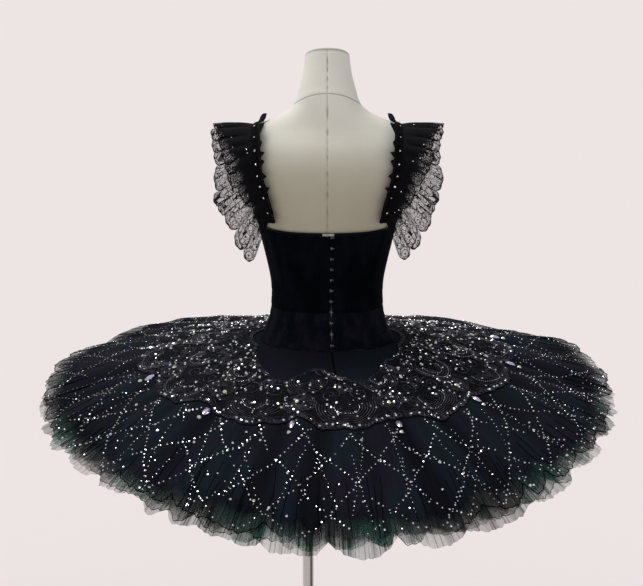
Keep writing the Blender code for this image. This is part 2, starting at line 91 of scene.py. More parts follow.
# Soft troughs in the skirt, placed one by one: angle from the centre back, half
# width in degrees, where along the skirt it starts and ends, and depth in mm.
TROUGHS = (
    (1, 2.6, .3, 1.0, 9), (12, 3.0, .25, .95, 8), (22, 2.2, .4, .9, 5), (34, 3.2, .3, 1.0, 9),
    (41, 1.8, .55, .95, 4), (48, 2.6, .35, .85, 6), (57, 2.4, .3, .9, 5), (66, 3.4, .4, 1.0, 7),
    (75, 2.0, .5, .95, 4), (83, 2.8, .3, .9, 6), (93, 2.2, .45, 1.0, 5), (102, 3.0, .3, .95, 7),
    (111, 2.0, .5, .9, 4), (119, 2.8, .3, 1.0, 8), (129, 2.4, .4, .9, 5), (138, 3.2, .3, .95, 7),
    (148, 2.0, .5, .95, 4), (156, 2.8, .35, 1.0, 8), (166, 2.4, .4, .9, 5), (175, 3.0, .3, .95, 7),
    (-9, 2.0, .45, .95, 5), (-22, 3.0, .3, 1.0, 9), (-29, 1.8, .5, .9, 4), (-35, 3.0, .3, .95, 9),
    (-44, 2.2, .4, .9, 5), (-52, 3.2, .3, 1.0, 8), (-61, 2.2, .45, .95, 5), (-70, 2.8, .35, .9, 6),
    (-79, 2.0, .5, 1.0, 5), (-88, 3.0, .3, .95, 7), (-97, 2.4, .45, .9, 4), (-106, 3.0, .35, 1.0, 7),
    (-116, 2.2, .4, .9, 5), (-125, 2.8, .3, .95, 8), (-134, 2.2, .5, .95, 4), (-143, 3.0, .35, .9, 6),
    (-152, 2.4, .4, 1.0, 6), (-161, 2.8, .3, .95, 7), (-170, 2.0, .5, .9, 4),
)

# Inner edge of the lace plate: angle from the centre back, distance from the hips.
LACE_INNER = ((-180, .014), (-100, .013), (-75, .012), (-66, .014), (-52, .036), (-41, .05), (-31, .062),
              (-22, .094), (-13, .114), (-5, .098), (-1, .086), (5, .072), (11, .09), (19, .118),
              (28, .098), (40, .064), (52, .036), (64, .014), (75, .012), (100, .013), (180, .014))

# Creases pressed into the bodice: angle, height, half length and half width in mm,
# slope in degrees, depth in mm (negative stands out).
BODICE_CREASES = (
    (14, .03, 26, 3.0, 12, .7), (31, .022, 22, 2.6, -8, .6), (52, .034, 24, 3.0, 16, .8),
    (-16, .026, 24, 2.8, -12, .7), (-33, .036, 20, 3.0, 8, .6), (-55, .024, 26, 2.8, -15, .8),
    (70, .06, 20, 3.2, 28, .5), (-72, .064, 22, 3.0, -26, .5), (24, .078, 16, 4.0, 34, .4),
    (-26, .084, 18, 4.0, -30, .4), (8, .112, 14, 4.0, 60, .4), (-11, .108, 14, 4.0, -62, .4),
    (90, .03, 22, 2.8, 10, .7), (-92, .028, 24, 2.8, -10, .7), (118, .034, 22, 3.0, -14, .7),
    (-121, .03, 24, 3.0, 12, .7), (146, .026, 22, 2.8, 8, .6), (-150, .032, 22, 2.8, -9, .6),
    (176, .04, 24, 3.2, 5, .6), (104, .11, 18, 4.0, 48, .4), (-108, .106, 18, 4.0, -46, .4),
    (12, -.02, 24, 2.6, 6, .5), (-18, -.028, 22, 2.6, -8, .5), (40, -.03, 24, 2.8, 14, .6),
    (-44, -.022, 22, 2.8, -12, .6), (78, -.032, 22, 2.8, 10, .5), (-82, -.026, 22, 2.8, -9, .5),
)


# ------------------------------------------------------------------ small maths
def smooth_curve(points: Rows, x: Any) -> Array:
    """Smooth curve through (x, y) points.

    Args:
        points: rows of x and y, x rising.
        x: where to read it, a number or an array.
    Returns:
        The curve's values, shaped as x.
    """
    table = np.asarray(points, float)
    xs, ys = table[:, 0], table[:, 1]
    slopes = np.gradient(ys, xs)
    x = np.clip(np.asarray(x, float), xs[0], xs[-1])
    i = np.clip(np.searchsorted(xs, x, side="right") - 1, 0, len(xs) - 2)
    step = xs[i + 1] - xs[i]
    u = (x - xs[i]) / step
    start = (1 + 2 * u) * (1 - u) ** 2 * ys[i] + u * (1 - u) ** 2 * step * slopes[i]
    return start + u * u * (3 - 2 * u) * ys[i + 1] + u * u * (u - 1) * step * slopes[i + 1]


def soft_step(low: float, high: float, x: Array) -> Array:
    """0 below low, 1 above high, smooth between."""
    u = np.clip((np.asarray(x, float) - low) / (high - low), 0.0, 1.0)
    return u * u * (3 - 2 * u)


def bell(x: Array, width: Any) -> Array:
    """1 at 0, falling to about a third at the width."""
    return exp(-(x / width) ** 2)


def once_round(count: int) -> Array:
    """Angles evenly once round."""
    return linspace(0, tau, count, endpoint=False)


def flat_grid(across: Array, down: Array) -> Array:
    """The flat place of every point of a grid."""
    return stack(np.broadcast_arrays(across[None, :], down[:, None]), -1)


def run_of(points: Array) -> float:
    """Length of the line through points."""
    return float(np.linalg.norm(np.diff(points, axis=0), axis=1).sum())


def signed_power(value: Array, power: float) -> Array:
    """The power of a number's size, with the number's sign."""
    return np.sign(value) * np.abs(value) ** power


def wrapped(angle: Array) -> Array:
    """Angles brought between -pi and pi."""
    return np.arctan2(sin(angle), cos(angle))


def unit(vectors: Array) -> Array:
    """Vectors brought to length 1."""
    return vectors / np.maximum(np.linalg.norm(vectors, axis=-1, keepdims=True), 1e-12)


def linear(red: int, green: int, blue: int) -> Color:
    """A screen colour of 0 to 255 as the linear values shaders take."""
    made = []
    for value in (red, green, blue):
        share = value / 255
        made.append(share / 12.92 if share <= 0.04045 else ((share + 0.055) / 1.055) ** 2.4)
    return made[0], made[1], made[2]


# ------------------------------------------------------------------- mesh tools
class Cloth:
    """Makes meshes from grids of points, and fits them on the body."""

    @staticmethod
    def faces(rows: int, columns: int, closed: bool) -> tuple[Array, Array]:
        """Quads of a grid.

        Args:
            rows: points down the grid.
            columns: points across it.
            closed: whether the last column joins the first.
        Returns:
            Vertex numbers of each quad, and its corners in the UV grid.
        """
        strips = columns if closed else columns - 1
        row, column = np.meshgrid(arange(rows - 1), arange(strips), indexing="ij")
        row, column = row.ravel(), column.ravel()
        corners = ((row, column), (row, column + 1), (row + 1, column + 1), (row + 1, column))
        quads = stack([r * columns + c % columns for r, c in corners], 1)
        wide = strips + 1
        return quads, stack([r * wide + c for r, c in corners], 1)

    @staticmethod
    def keep(mesh: Mesh, key: str, values: Array, kind: str = "FLOAT") -> None:
        """Keeps a number, or a vector, on every point of a mesh."""
        kept = mesh.attributes.new(key, kind, "POINT")
        flat = np.asarray(values, np.float32).ravel()
        kept.data.foreach_set("value" if kind == "FLOAT" else "vector", flat)

    @staticmethod
    def lay_flat(mesh: Mesh, uv: Array, corners: Array) -> None:
        """Gives every corner of a mesh its place on the flat cloth."""
        layer = mesh.uv_layers.new(name="UVMap")
        layer.data.foreach_set("uv", uv.reshape(-1, 2)[corners.ravel()].astype(np.float32).ravel())

    @staticmethod
    def link(name: str, mesh: Mesh, material: Material) -> Object:
        """An object for a mesh, in the scene and with its material."""
        mesh.materials.append(material)
        obj = bpy.data.objects.new(name, mesh)
        bpy.context.scene.collection.objects.link(obj)
        return obj

    @classmethod
    def sheet(cls, name: str, grid: Array, uv: Array, material: Material,
              closed: bool = False, paint: dict[str, Array] | None = None,
              flip: bool = False) -> Object:
        """One open sheet of cloth.

        Args:
            name: the piece's name.
            grid: points, rows by columns by 3.
            uv: flat place of each point in metres, one column more if closed.
            material: its finish.
            closed: whether the last column joins the first.
            paint: values kept on the points, by name.
            flip: turns the faces to the other side.
        Returns:
            The object.
        """
        quads, corners = cls.faces(grid.shape[0], grid.shape[1], closed)
        if flip:
            quads, corners = quads[:, ::-1], corners[:, ::-1]
        mesh = bpy.data.meshes.new(name)
        mesh.from_pydata(grid.reshape(-1, 3).tolist(), [], quads.tolist())
        cls.lay_flat(mesh, uv, corners)
        for key, values in (paint or {}).items():
            cls.keep(mesh, key, values)
        mesh.shade_smooth()
        return cls.link(name, mesh, material)

    @classmethod
    def shell(cls, name: str, under: Array, over: Array, uv: Array,
              material: Material, closed: bool = False) -> Object:
        """A closed wall of cloth between two grids of points.

        Args:
            name: the piece's name.
            under: points of the side towards the body.
            over: points of the outer side.
            uv: flat place of each point in metres.
            material: its finish.
            closed: whether the last column joins the first.
        Returns:
            The object.
        """
        rows, columns = over.shape[:2]
        quads, corners = cls.faces(rows, columns, closed)
        count, wide = rows * columns, uv.shape[1]
        faces = [*quads.tolist(), *(quads[:, ::-1] + count).tolist()]
        places = [*corners.tolist(), *corners[:, ::-1].tolist()]
        strips = columns if closed else columns - 1
        for row in (0, rows - 1):
            for c in range(strips):
                a, b = row * columns + c, row * columns + (c + 1) % columns
                faces.append([a, b, b + count, a + count])
                places.append([row * wide + c, row * wide + c + 1, row * wide + c + 1, row * wide + c])
        if not closed:
            for c in (0, columns - 1):
                for r in range(rows - 1):
                    a, b = r * columns + c, (r + 1) * columns + c
                    faces.append([a, b, b + count, a + count])
                    places.append([r * wide + c, (r + 1) * wide + c, (r + 1) * wide + c, r * wide + c])
        mesh = bpy.data.meshes.new(name)
        points = np.concatenate([under.reshape(-1, 3), over.reshape(-1, 3)])
        mesh.from_pydata(points.tolist(), [], faces)
        cls.lay_flat(mesh, uv, np.asarray(places))
        cls.face_out(mesh)
        mesh.set_sharp_from_angle(angle=radians(50))
        return cls.link(name, mesh, material)

    @staticmethod
    def face_out(mesh: Mesh) -> None:
        """Turns a closed mesh's faces outwards and smooths it."""
        bm = bmesh.new()
        bm.from_mesh(mesh)
        bmesh.ops.recalc_face_normals(bm, faces=bm.faces)
        if bm.calc_volume(signed=True) < 0:
            bmesh.ops.reverse_faces(bm, faces=bm.faces)
        bm.to_mesh(mesh)
        bm.free()
        mesh.shade_smooth()

    @classmethod
    def stack(cls, name: str, rings: Array, material: Material, pole: bool = False,
              paint: dict[str, Array] | None = None) -> Object:
        """A closed body through rings of points.

        Args:
            name: the piece's name.
            rings: levels by points round by 3.
            material: its finish.
            pole: closes the top to a point and not with a flat face.
            paint: values kept on the points, by name.
        Returns:
            The object.
        """
        levels, count = rings.shape[:2]
        quads, _ = cls.faces(levels, count, True)
        faces = [*quads.tolist(), list(range(count))]
        points = rings.reshape(-1, 3).tolist()
        last = (levels - 1) * count
        if pole:
            points.append(rings[-1].mean(0).tolist())
            faces += [[last + i, last + (i + 1) % count, len(points) - 1] for i in range(count)]
        else:
            faces.append(list(range(last, last + count)))
        mesh = bpy.data.meshes.new(name)
        mesh.from_pydata(points, [], faces)
        cls.face_out(mesh)
        for key, values in (paint or {}).items():
            cls.keep(mesh, key, np.pad(values.ravel(), (0, len(points) - values.size)))
        mesh.set_sharp_from_angle(angle=radians(50))
        return cls.link(name, mesh, material)

    @staticmethod
    def cut_of(grid: Array) -> tuple[float, float, float]:
        """Flat width, length and area of a piece that is cut to fit.

        Args:
            grid: points of its undisturbed surface, rows by columns by 3.
        Returns:
            Width, length and area in metres.
        """
        across = np.linalg.norm(np.diff(grid, axis=1), axis=-1)
        down = np.linalg.norm(np.diff(grid, axis=0), axis=-1)
        one, two = grid[1:, 1:] - grid[:-1, :-1], grid[1:, :-1] - grid[:-1, 1:]
        area = float(np.linalg.norm(np.cross(one, two), axis=-1).sum() / 2)
        width, length = float(across.sum(1).max()), float(down.sum(0).max())
        return width, length, min(area, width * length)

    @staticmethod
    def fit(piece: Object, slot: str, *nodes: str) -> Object:
        """Makes a piece ride on the body, in place of the solids it stands for."""
        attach(piece, ROOT)
        if nodes:
            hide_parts(*nodes)
        LOG.info("%s: %d faces", piece.name, len(piece.data.polygons))
        return piece


class Maker:
    """Trees of Geometry Nodes for what repeats or follows a path."""

    @staticmethod
    def tree(name: str, inputs: dict[str, tuple[str, Any]]) -> NodeTree:
        """An empty tree with a geometry going in and out.

        Args:
            name: the tree's name.
            inputs: socket type and first value of each named input.
        Returns:
            The tree.
        """
        tree = bpy.data.node_groups.new(name, "GeometryNodeTree")
        tree.interface.new_socket("Geometry", in_out="INPUT", socket_type="NodeSocketGeometry")
        for key, (kind, value) in inputs.items():
            socket = tree.interface.new_socket(key, in_out="INPUT", socket_type=kind)
            if value is not None:
                socket.default_value = value
        tree.interface.new_socket("Geometry", in_out="OUTPUT", socket_type="NodeSocketGeometry")
        return tree

    @staticmethod
    def attribute(tree: NodeTree, name: str, kind: str) -> NodeSocket:
        """The socket of a value kept on the points."""
        node = tree.nodes.new("GeometryNodeInputNamedAttribute")
        node.data_type = kind
        node.inputs["Name"].default_value = name
        return next(s for s in node.outputs if s.enabled and s.name == "Attribute")

    @classmethod
    def settings(cls) -> NodeTree:
        """A tree that sets a cut stone on every point, turned to the cloth.

        Returns:
            The tree, with inputs for the stone's sides, table and depth.
        """
        tree = cls.tree("stone_setting", {
            "Sides": ("NodeSocketInt", 8),
            "Table": ("NodeSocketFloat", 0.55),
            "Depth": ("NodeSocketFloat", 0.5),
            "Material": ("NodeSocketMaterial", None),
        })
        nodes, links = tree.nodes, tree.links
        given = nodes.new("NodeGroupInput")
        stone = nodes.new("GeometryNodeMeshCone")
        stone.fill_type = "NGON"
        stone.inputs["Side Segments"].default_value = 1
        stone.inputs["Radius Bottom"].default_value = 1.0
        upright = nodes.new("FunctionNodeAlignRotationToVector")
        upright.axis = "Z"
        links.new(cls.attribute(tree, "facing", "FLOAT_VECTOR"), upright.inputs["Vector"])
        turned = nodes.new("FunctionNodeAlignRotationToVector")
        turned.axis, turned.pivot_axis = "X", "Z"
        links.new(cls.attribute(tree, "along", "FLOAT_VECTOR"), turned.inputs["Vector"])
        placed = nodes.new("GeometryNodeInstanceOnPoints")
        cls.join(tree, (
            (given, "Sides", stone, "Vertices"), (given, "Table", stone, "Radius Top"),
            (given, "Depth", stone, "Depth"), (upright, "Rotation", turned, "Rotation"),
            (given, "Geometry", placed, "Points"), (stone, "Mesh", placed, "Instance"),
            (turned, "Rotation", placed, "Rotation")))
        links.new(cls.attribute(tree, "size", "FLOAT_VECTOR"), placed.inputs["Scale"])
        cls.close(tree, placed, "Instances", given)
        return tree

    @classmethod
    def thread(cls) -> NodeTree:
        """A tree that draws a round thread or wire along every edge line.

        Returns:
            The tree, with inputs for the thread's radius and sides.
        """
        tree = cls.tree("thread_along_line", {
            "Radius": ("NodeSocketFloat", 0.0005),
            "Sides": ("NodeSocketInt", 5),
            "Material": ("NodeSocketMaterial", None),
        })
        nodes = tree.nodes
        given = nodes.new("NodeGroupInput")
        line = nodes.new("GeometryNodeMeshToCurve")
        ring = nodes.new("GeometryNodeCurvePrimitiveCircle")
        tube = nodes.new("GeometryNodeCurveToMesh")
        tube.inputs["Fill Caps"].default_value = True
        cls.join(tree, (
            (given, "Geometry", line, "Mesh"), (given, "Sides", ring, "Resolution"),
            (given, "Radius", ring, "Radius"), (line, "Curve", tube, "Curve"),
            (ring, "Curve", tube, "Profile Curve")))
        cls.close(tree, tube, "Mesh", given)
        return tree

    @staticmethod
    def join(tree: NodeTree, pairs: Iterable[tuple[Node, str, Node, str]]) -> None:
        """Joins an output of one node to an input of another, for each pair."""
        for source, out, target, into in pairs:
            tree.links.new(source.outputs[out], target.inputs[into])

    @classmethod
    def close(cls, tree: NodeTree, made: Node, out: str, given: Node) -> None:
        """Ends a tree in real geometry with its material."""
        real = tree.nodes.new("GeometryNodeRealizeInstances")
        dressed = tree.nodes.new("GeometryNodeSetMaterial")
        cls.join(tree, (
            (made, out, real, "Geometry"), (real, "Geometry", dressed, "Geometry"),
            (given, "Material", dressed, "Material"),
            (dressed, "Geometry", tree.nodes.new("NodeGroupOutput"), "Geometry")))

    @staticmethod
    def grow(name: str, base: Mesh, tree: NodeTree, values: dict[str, Any]) -> Object:
        """Runs a tree on a mesh and keeps the plain mesh that comes out.

        Args:
            name: the piece's name.
            base: points or lines with their kept values.
            tree: the tree.
            values: its inputs by name.
        Returns:
            The object, with no modifier left.
        """
        obj = bpy.data.objects.new(name, base)
        bpy.context.scene.collection.objects.link(obj)
        modifier = obj.modifiers.new("maker", "NODES")
        modifier.node_group = tree
        for item in tree.interface.items_tree:
            if item.item_type == "SOCKET" and item.in_out == "INPUT" and item.name in values:
                modifier[item.identifier] = values[item.name]
        obj.update_tag()
        bpy.context.view_layer.update()
        graph = bpy.context.evaluated_depsgraph_get()
        mesh = bpy.data.meshes.new_from_object(obj.evaluated_get(graph))
        obj.modifiers.clear()
        obj.data = mesh
        mesh.name = name
        bpy.data.meshes.remove(base)
        return obj


@dataclass
class Stones:
    """Points where stones go, gathered before one tree sets them all."""

    tree: NodeTree
    material: Material

    def __post_init__(self) -> None:
        """Starts with no stone."""
        self.kept: list[tuple[Array, ...]] = []

    def add(self, points: Array, facing: Array, radius: Array | float,
            along: Array | None = None, stretch: float = 1.0, tint: Array | float = 0.0,
            tilt: float = 0.16, seed: int = 1) -> None:
        """Adds stones.

        Args:
            points: their places.
            facing: the way out of the cloth at each.
            radius: half their width.
            along: the way their long side lies.
            stretch: how many times longer than wide.
            tint: 0 clear, higher for tinted stones.
            tilt: how far stones lean at random, as a share of upright.
            seed: fixes the chance.
        """
        chance = np.random.default_rng(seed)
        count = len(points)
        radius = np.broadcast_to(np.asarray(radius, float), (count,))
        leaning = unit(facing + chance.normal(0, tilt, (count, 3)))
        lying = unit(chance.normal(0, 1, (count, 3))) if along is None else along
        size = stack([radius * stretch, radius, radius], 1)
        self.kept.append((points, leaning, lying, size, np.broadcast_to(np.asarray(tint, float), (count,))))

    def set_all(self, name: str, sides: int = 8, table: float = 0.55, depth: float = 0.5) -> Object:
        """Sets every stone gathered so far as one piece.

        Args:
            name: the piece's name.
            sides: sides of a stone.
            table: width of its flat top against its own.
            depth: its height against its half width.
        Returns:
            The object.
        """
        points, facing, along, size, tint = (np.concatenate(c) for c in zip(*self.kept))
        mesh = bpy.data.meshes.new(name + "_places")
        mesh.from_pydata(points.tolist(), [], [])
        for key, values in (("facing", facing), ("along", along), ("size", size)):
            Cloth.keep(mesh, key, values, "FLOAT_VECTOR")
        Cloth.keep(mesh, "tint", tint)
        self.kept = []
        return Maker.grow(name, mesh, self.tree, {
            "Sides": sides, "Table": table, "Depth": depth, "Material": self.material})


@dataclass
class Threads:
    """Lines that threads, cords or wires follow, gathered before one tree draws them."""

    tree: NodeTree
    material: Material
    radius: float
    sides: int = 5

    def __post_init__(self) -> None:
        """Starts with no line."""
        self.lines: list[tuple[Array, bool]] = []

    def add(self, points: Array, closed: bool = False) -> None:
        """Adds one line through points, joined end to end if closed."""
        self.lines.append((points, closed))

    def draw(self, name: str) -> Object:
        """Draws every line gathered so far as one piece."""
        points: list[list[float]] = []
        edges: list[tuple[int, int]] = []
        for line, closed in self.lines:
            start, count = len(points), len(line)
            points += line.tolist()
            edges += [(start + i, start + i + 1) for i in range(count - 1)]
            if closed:
                edges.append((start + count - 1, start))
        mesh = bpy.data.meshes.new(name + "_lines")
        mesh.from_pydata(points, edges, [])
        self.lines = []
        made = Maker.grow(name, mesh, self.tree, {
            "Radius": self.radius, "Sides": self.sides, "Material": self.material})
        made.data.shade_smooth()
        return made


# --------------------------------------------------------------------- finishes
class Paint:
    """Lays out the nodes of one material."""

    def __init__(self, name: str) -> None:
        """Starts a material with its shader joined to its output."""
        self.material = bpy.data.materials.new(name)
        self.material.use_nodes = True
        self.tree = self.material.node_tree
        self.tree.nodes.clear()
        self.output = self.tree.nodes.new("ShaderNodeOutputMaterial")
        self.shader = self.tree.nodes.new("ShaderNodeBsdfPrincipled")
        self.tree.links.new(self.shader.outputs["BSDF"], self.output.inputs["Surface"])

    def node(self, kind: str, settings: dict[str, Any] | None = None, **inputs: Any) -> Node:
        """Adds a node.

        Args:
            kind: the node's type after ShaderNode.
            settings: its own settings.
            inputs: sockets to join or numbers, spaces in names written as _.
        Returns:
            The node.
        """
        node = self.tree.nodes.new("ShaderNode" + kind)
        for key, value in (settings or {}).items():
            setattr(node, key, value)
        for key, value in inputs.items():
            self.feed(node, key.replace("_", " "), value)
        return node

    def feed(self, node: Node, key: str | int, value: Any) -> None:
        """Joins a socket to an input, or sets the input's number."""
        if isinstance(value, NodeSocket):
            self.tree.links.new(value, node.inputs[key])
        else:
            node.inputs[key].default_value = value

    def set(self, **inputs: Any) -> None:
        """Sets or joins the shader's own inputs."""
        for key, value in inputs.items():
            self.feed(self.shader, key.replace("_", " "), value)

    def place(self) -> NodeSocket:
        """Place in the part's own frame."""
        return self.node("TexCoord").outputs["Object"]

    def flat(self) -> NodeSocket:
        """Place on the flat cloth."""
        return self.node("TexCoord").outputs["UV"]

    def kept(self, name: str) -> NodeSocket:
        """A value kept on the points."""
        return self.node("Attribute", {"attribute_name": name}).outputs["Fac"]

    def noise(self, where: NodeSocket, scale: float, detail: float = 2.0,
              roughness: float = 0.5) -> NodeSocket:
        """Soft noise at this many waves a metre."""
        return self.node("TexNoise", Vector=where, Scale=scale, Detail=detail,
                         Roughness=roughness).outputs["Fac"]

    def wave(self, where: NodeSocket, axis: str, scale: float, distortion: float = 0.0) -> NodeSocket:
        """Stripes across an axis."""
        return self.node("TexWave", {"bands_direction": axis}, Vector=where, Scale=scale,
                         Distortion=distortion).outputs["Fac"]

    def drawn(self, where: NodeSocket, scale: Color) -> NodeSocket:
        """Places spread apart along the axes."""
        return self.node("Mapping", Vector=where, Scale=scale).outputs["Vector"]

    def axis(self, where: NodeSocket, name: str) -> NodeSocket:
        """One axis of a place."""
        return self.node("SeparateXYZ", Vector=where).outputs[name]

    def cells(self, where: NodeSocket, scale: float, feature: str = "F1",
              randomness: float = 1.0) -> NodeSocket:
        """Distance in a field of cells."""
        return self.node("TexVoronoi", {"feature": feature}, Vector=where, Scale=scale,
                         Randomness=randomness).outputs["Distance"]

    def math(self, operation: str, one: Any, two: Any = 0.0, clamp: bool = False) -> NodeSocket:
        """One sum on two values."""
        node = self.node("Math", {"operation": operation, "use_clamp": clamp})
        self.feed(node, 0, one)
        self.feed(node, 1, two)
        return node.outputs["Value"]

    def span(self, value: Any, low: float, high: float, out_low: float = 0.0, out_high: float = 1.0
             ) -> NodeSocket:
        """Moves a value from one span to another, softly and held at the ends."""
        node = self.node("MapRange", {"interpolation_type": "SMOOTHSTEP"}, Value=value, From_Min=low,
                         From_Max=high, To_Min=out_low, To_Max=out_high)
        return node.outputs["Result"]

    def blend(self, share: Any, one: Any, two: Any) -> NodeSocket:
        """Blends two colours."""
        node = self.node("Mix", {"data_type": "RGBA"})
        sockets = [s for s in node.inputs if s.enabled]
        for socket, value in zip(sockets, (share, one, two)):
            if isinstance(value, NodeSocket):
                self.tree.links.new(value, socket)
            else:
                socket.default_value = value if isinstance(value, float) else (*value, 1.0)
        return next(s for s in node.outputs if s.enabled)

    def bump(self, height: NodeSocket, distance: float, strength: float = 1.0) -> None:
        """Raises the surface by a value."""
        node = self.node("Bump", Height=height, Distance=distance, Strength=strength)
        self.tree.links.new(node.outputs["Normal"], self.shader.inputs["Normal"])


@dataclass(frozen=True)
class Finish:
    """A finish, which lays out the nodes of a material with its name."""

    name: str

    def lay(self, p: Paint) -> None:
        """Lays out the nodes."""

    def make(self) -> Material:
        """The material."""
        p = Paint(self.name)
        self.lay(p)
        return p.material


@dataclass(frozen=True)
class JerseyFinish(Finish):
    """Knitted cover of the form, with painted shade that darkens it from the neck down the back."""

    color: Color
    # Colour of the painted shade low on the back.
    shade_color: Color
    shade_none_above: float = 1.4
    shade_full_below: float = 1.215

    def lay(self, p: Paint) -> None:
        """Lays out the nodes."""
        where = p.place()
        cloud = p.span(p.noise(where, 7.0, 3.0), 0.35, 0.7)
        fine = p.noise(where, 260.0, 2.0)
        rib = p.wave(where, "X", 130.0, 0.6)
        row = p.wave(where, "Z", 110.0, 0.6)
        knit = p.math("MULTIPLY", rib, row)
        height = p.axis(where, "Z")
        # Painted shade: the colour darkens lower down the form, standing in for the shade on the low back
        # under the skirt; the cloud adds random mottling.
        painted_shade = p.span(height, self.shade_full_below, self.shade_none_above, 0.9, 0.0)
        shade_and_mottle = p.math("MULTIPLY", p.math("ADD", painted_shade, p.math("MULTIPLY", cloud, 0.12)), 1.0, clamp=True)
        base = p.blend(shade_and_mottle, self.color, self.shade_color)
        sewn = p.blend(p.kept("seam"), base, (0.1, 0.09, 0.07))
        p.set(Base_Color=p.blend(p.math("MULTIPLY", fine, 0.05), sewn, (0.42, 0.39, 0.31)),
              Roughness=p.span(fine, 0.3, 0.7, 0.72, 0.86))
        p.set(Specular_IOR_Level=0.25, Sheen_Weight=0.08, Sheen_Roughness=0.5)
        p.bump(p.math("ADD", knit, p.math("MULTIPLY", fine, 0.6)), 0.00018, 0.6)


@dataclass(frozen=True)
class MetalFinish(Finish):
    """Turned or drawn metal, or enamel with a painted shade stripe down one side at an X if that is given."""

    color: Color
    stain: Color
    roughness: float
    grain: Color = (3.0, 3.0, 240.0)
    shade_stripe_x: float | None = None

    def lay(self, p: Paint) -> None:
        """Lays out the nodes."""
        where = p.drawn(p.place(), self.grain)
        brushed = p.noise(where, 4.0, 4.0)
        worn = p.span(p.noise(p.place(), 14.0, 4.0, 0.6), 0.5, 0.72)
        tone = p.blend(worn, self.color, self.stain)
        if self.shade_stripe_x:
            # Painted shade: a dark brown stripe down one side of the pole stands in for its shaded edge.
            aside = p.axis(p.place(), "X")
            off = p.math("ABSOLUTE", p.math("SUBTRACT", aside, self.shade_stripe_x))
            tone = p.blend(p.span(off, 0.0012, 0.003, 0.92, 0.0), tone, (0.08, 0.046, 0.02))
        p.set(Base_Color=tone, Metallic=0.0 if self.shade_stripe_x else 1.0,
              Roughness=p.span(brushed, 0.2, 0.8, self.roughness * 0.7, self.roughness * 1.4))
        p.bump(brushed, 0.00005, 0.35)


@dataclass(frozen=True)
class VelvetFinish(Finish):
    """Short dark pile with its nap brushed unevenly."""

    pile: Color
    bloom: Color
    sheen: float
    nap: float = 26.0

    def lay(self, p: Paint) -> None:
        """Lays out the nodes."""
        where = p.place()
        drawn = p.drawn(where, (1.0, 1.0, 0.45))
        brushed = p.span(p.noise(drawn, self.nap, 4.0, 0.62), 0.42, 0.68)
        tuft = p.noise(where, 1500.0, 2.0)
        speck = p.span(p.cells(where, 420.0), 0.05, 0.16, 1.0, 0.0)
        pile = p.blend(brushed, self.pile, self.bloom)
        p.set(Base_Color=p.blend(p.math("MULTIPLY", speck, 0.1), pile, (0.02, 0.024, 0.034)),
              Roughness=p.span(brushed, 0.0, 1.0, 0.94, 0.78))
        p.set(Specular_IOR_Level=0.04, Sheen_Weight=self.sheen, Sheen_Roughness=0.42,
              Sheen_Tint=(0.45, 0.55, 0.85, 1.0))
        p.bump(p.math("ADD", tuft, p.math("MULTIPLY", brushed, 0.8)), 0.0004, 0.55)


@dataclass(frozen=True)
class RibbonFinish(Finish):
    """Woven ribbon, elastic, satin or tape, ribbed across its length."""

    color: Color
    light: Color
    roughness: float
    rib: float

    def lay(self, p: Paint) -> None:
        """Lays out the nodes."""
        flat = p.flat()
        ribs = p.wave(flat, "X", self.rib, 0.3)
        weft = p.wave(flat, "Y", self.rib * 1.6)
        worn = p.noise(p.place(), 60.0, 3.0)
        tone = p.math("MULTIPLY", p.math("MULTIPLY", ribs, weft), p.span(worn, 0.3, 0.7, 0.5, 1.0))
        p.set(Base_Color=p.blend(tone, self.color, self.light),
              Roughness=p.span(worn, 0.3, 0.7, self.roughness, min(1.0, self.roughness * 1.3)))
        p.set(Specular_IOR_Level=0.1, Sheen_Weight=0.004)
        p.bump(p.math("ADD", ribs, weft), 0.0002, 0.7)


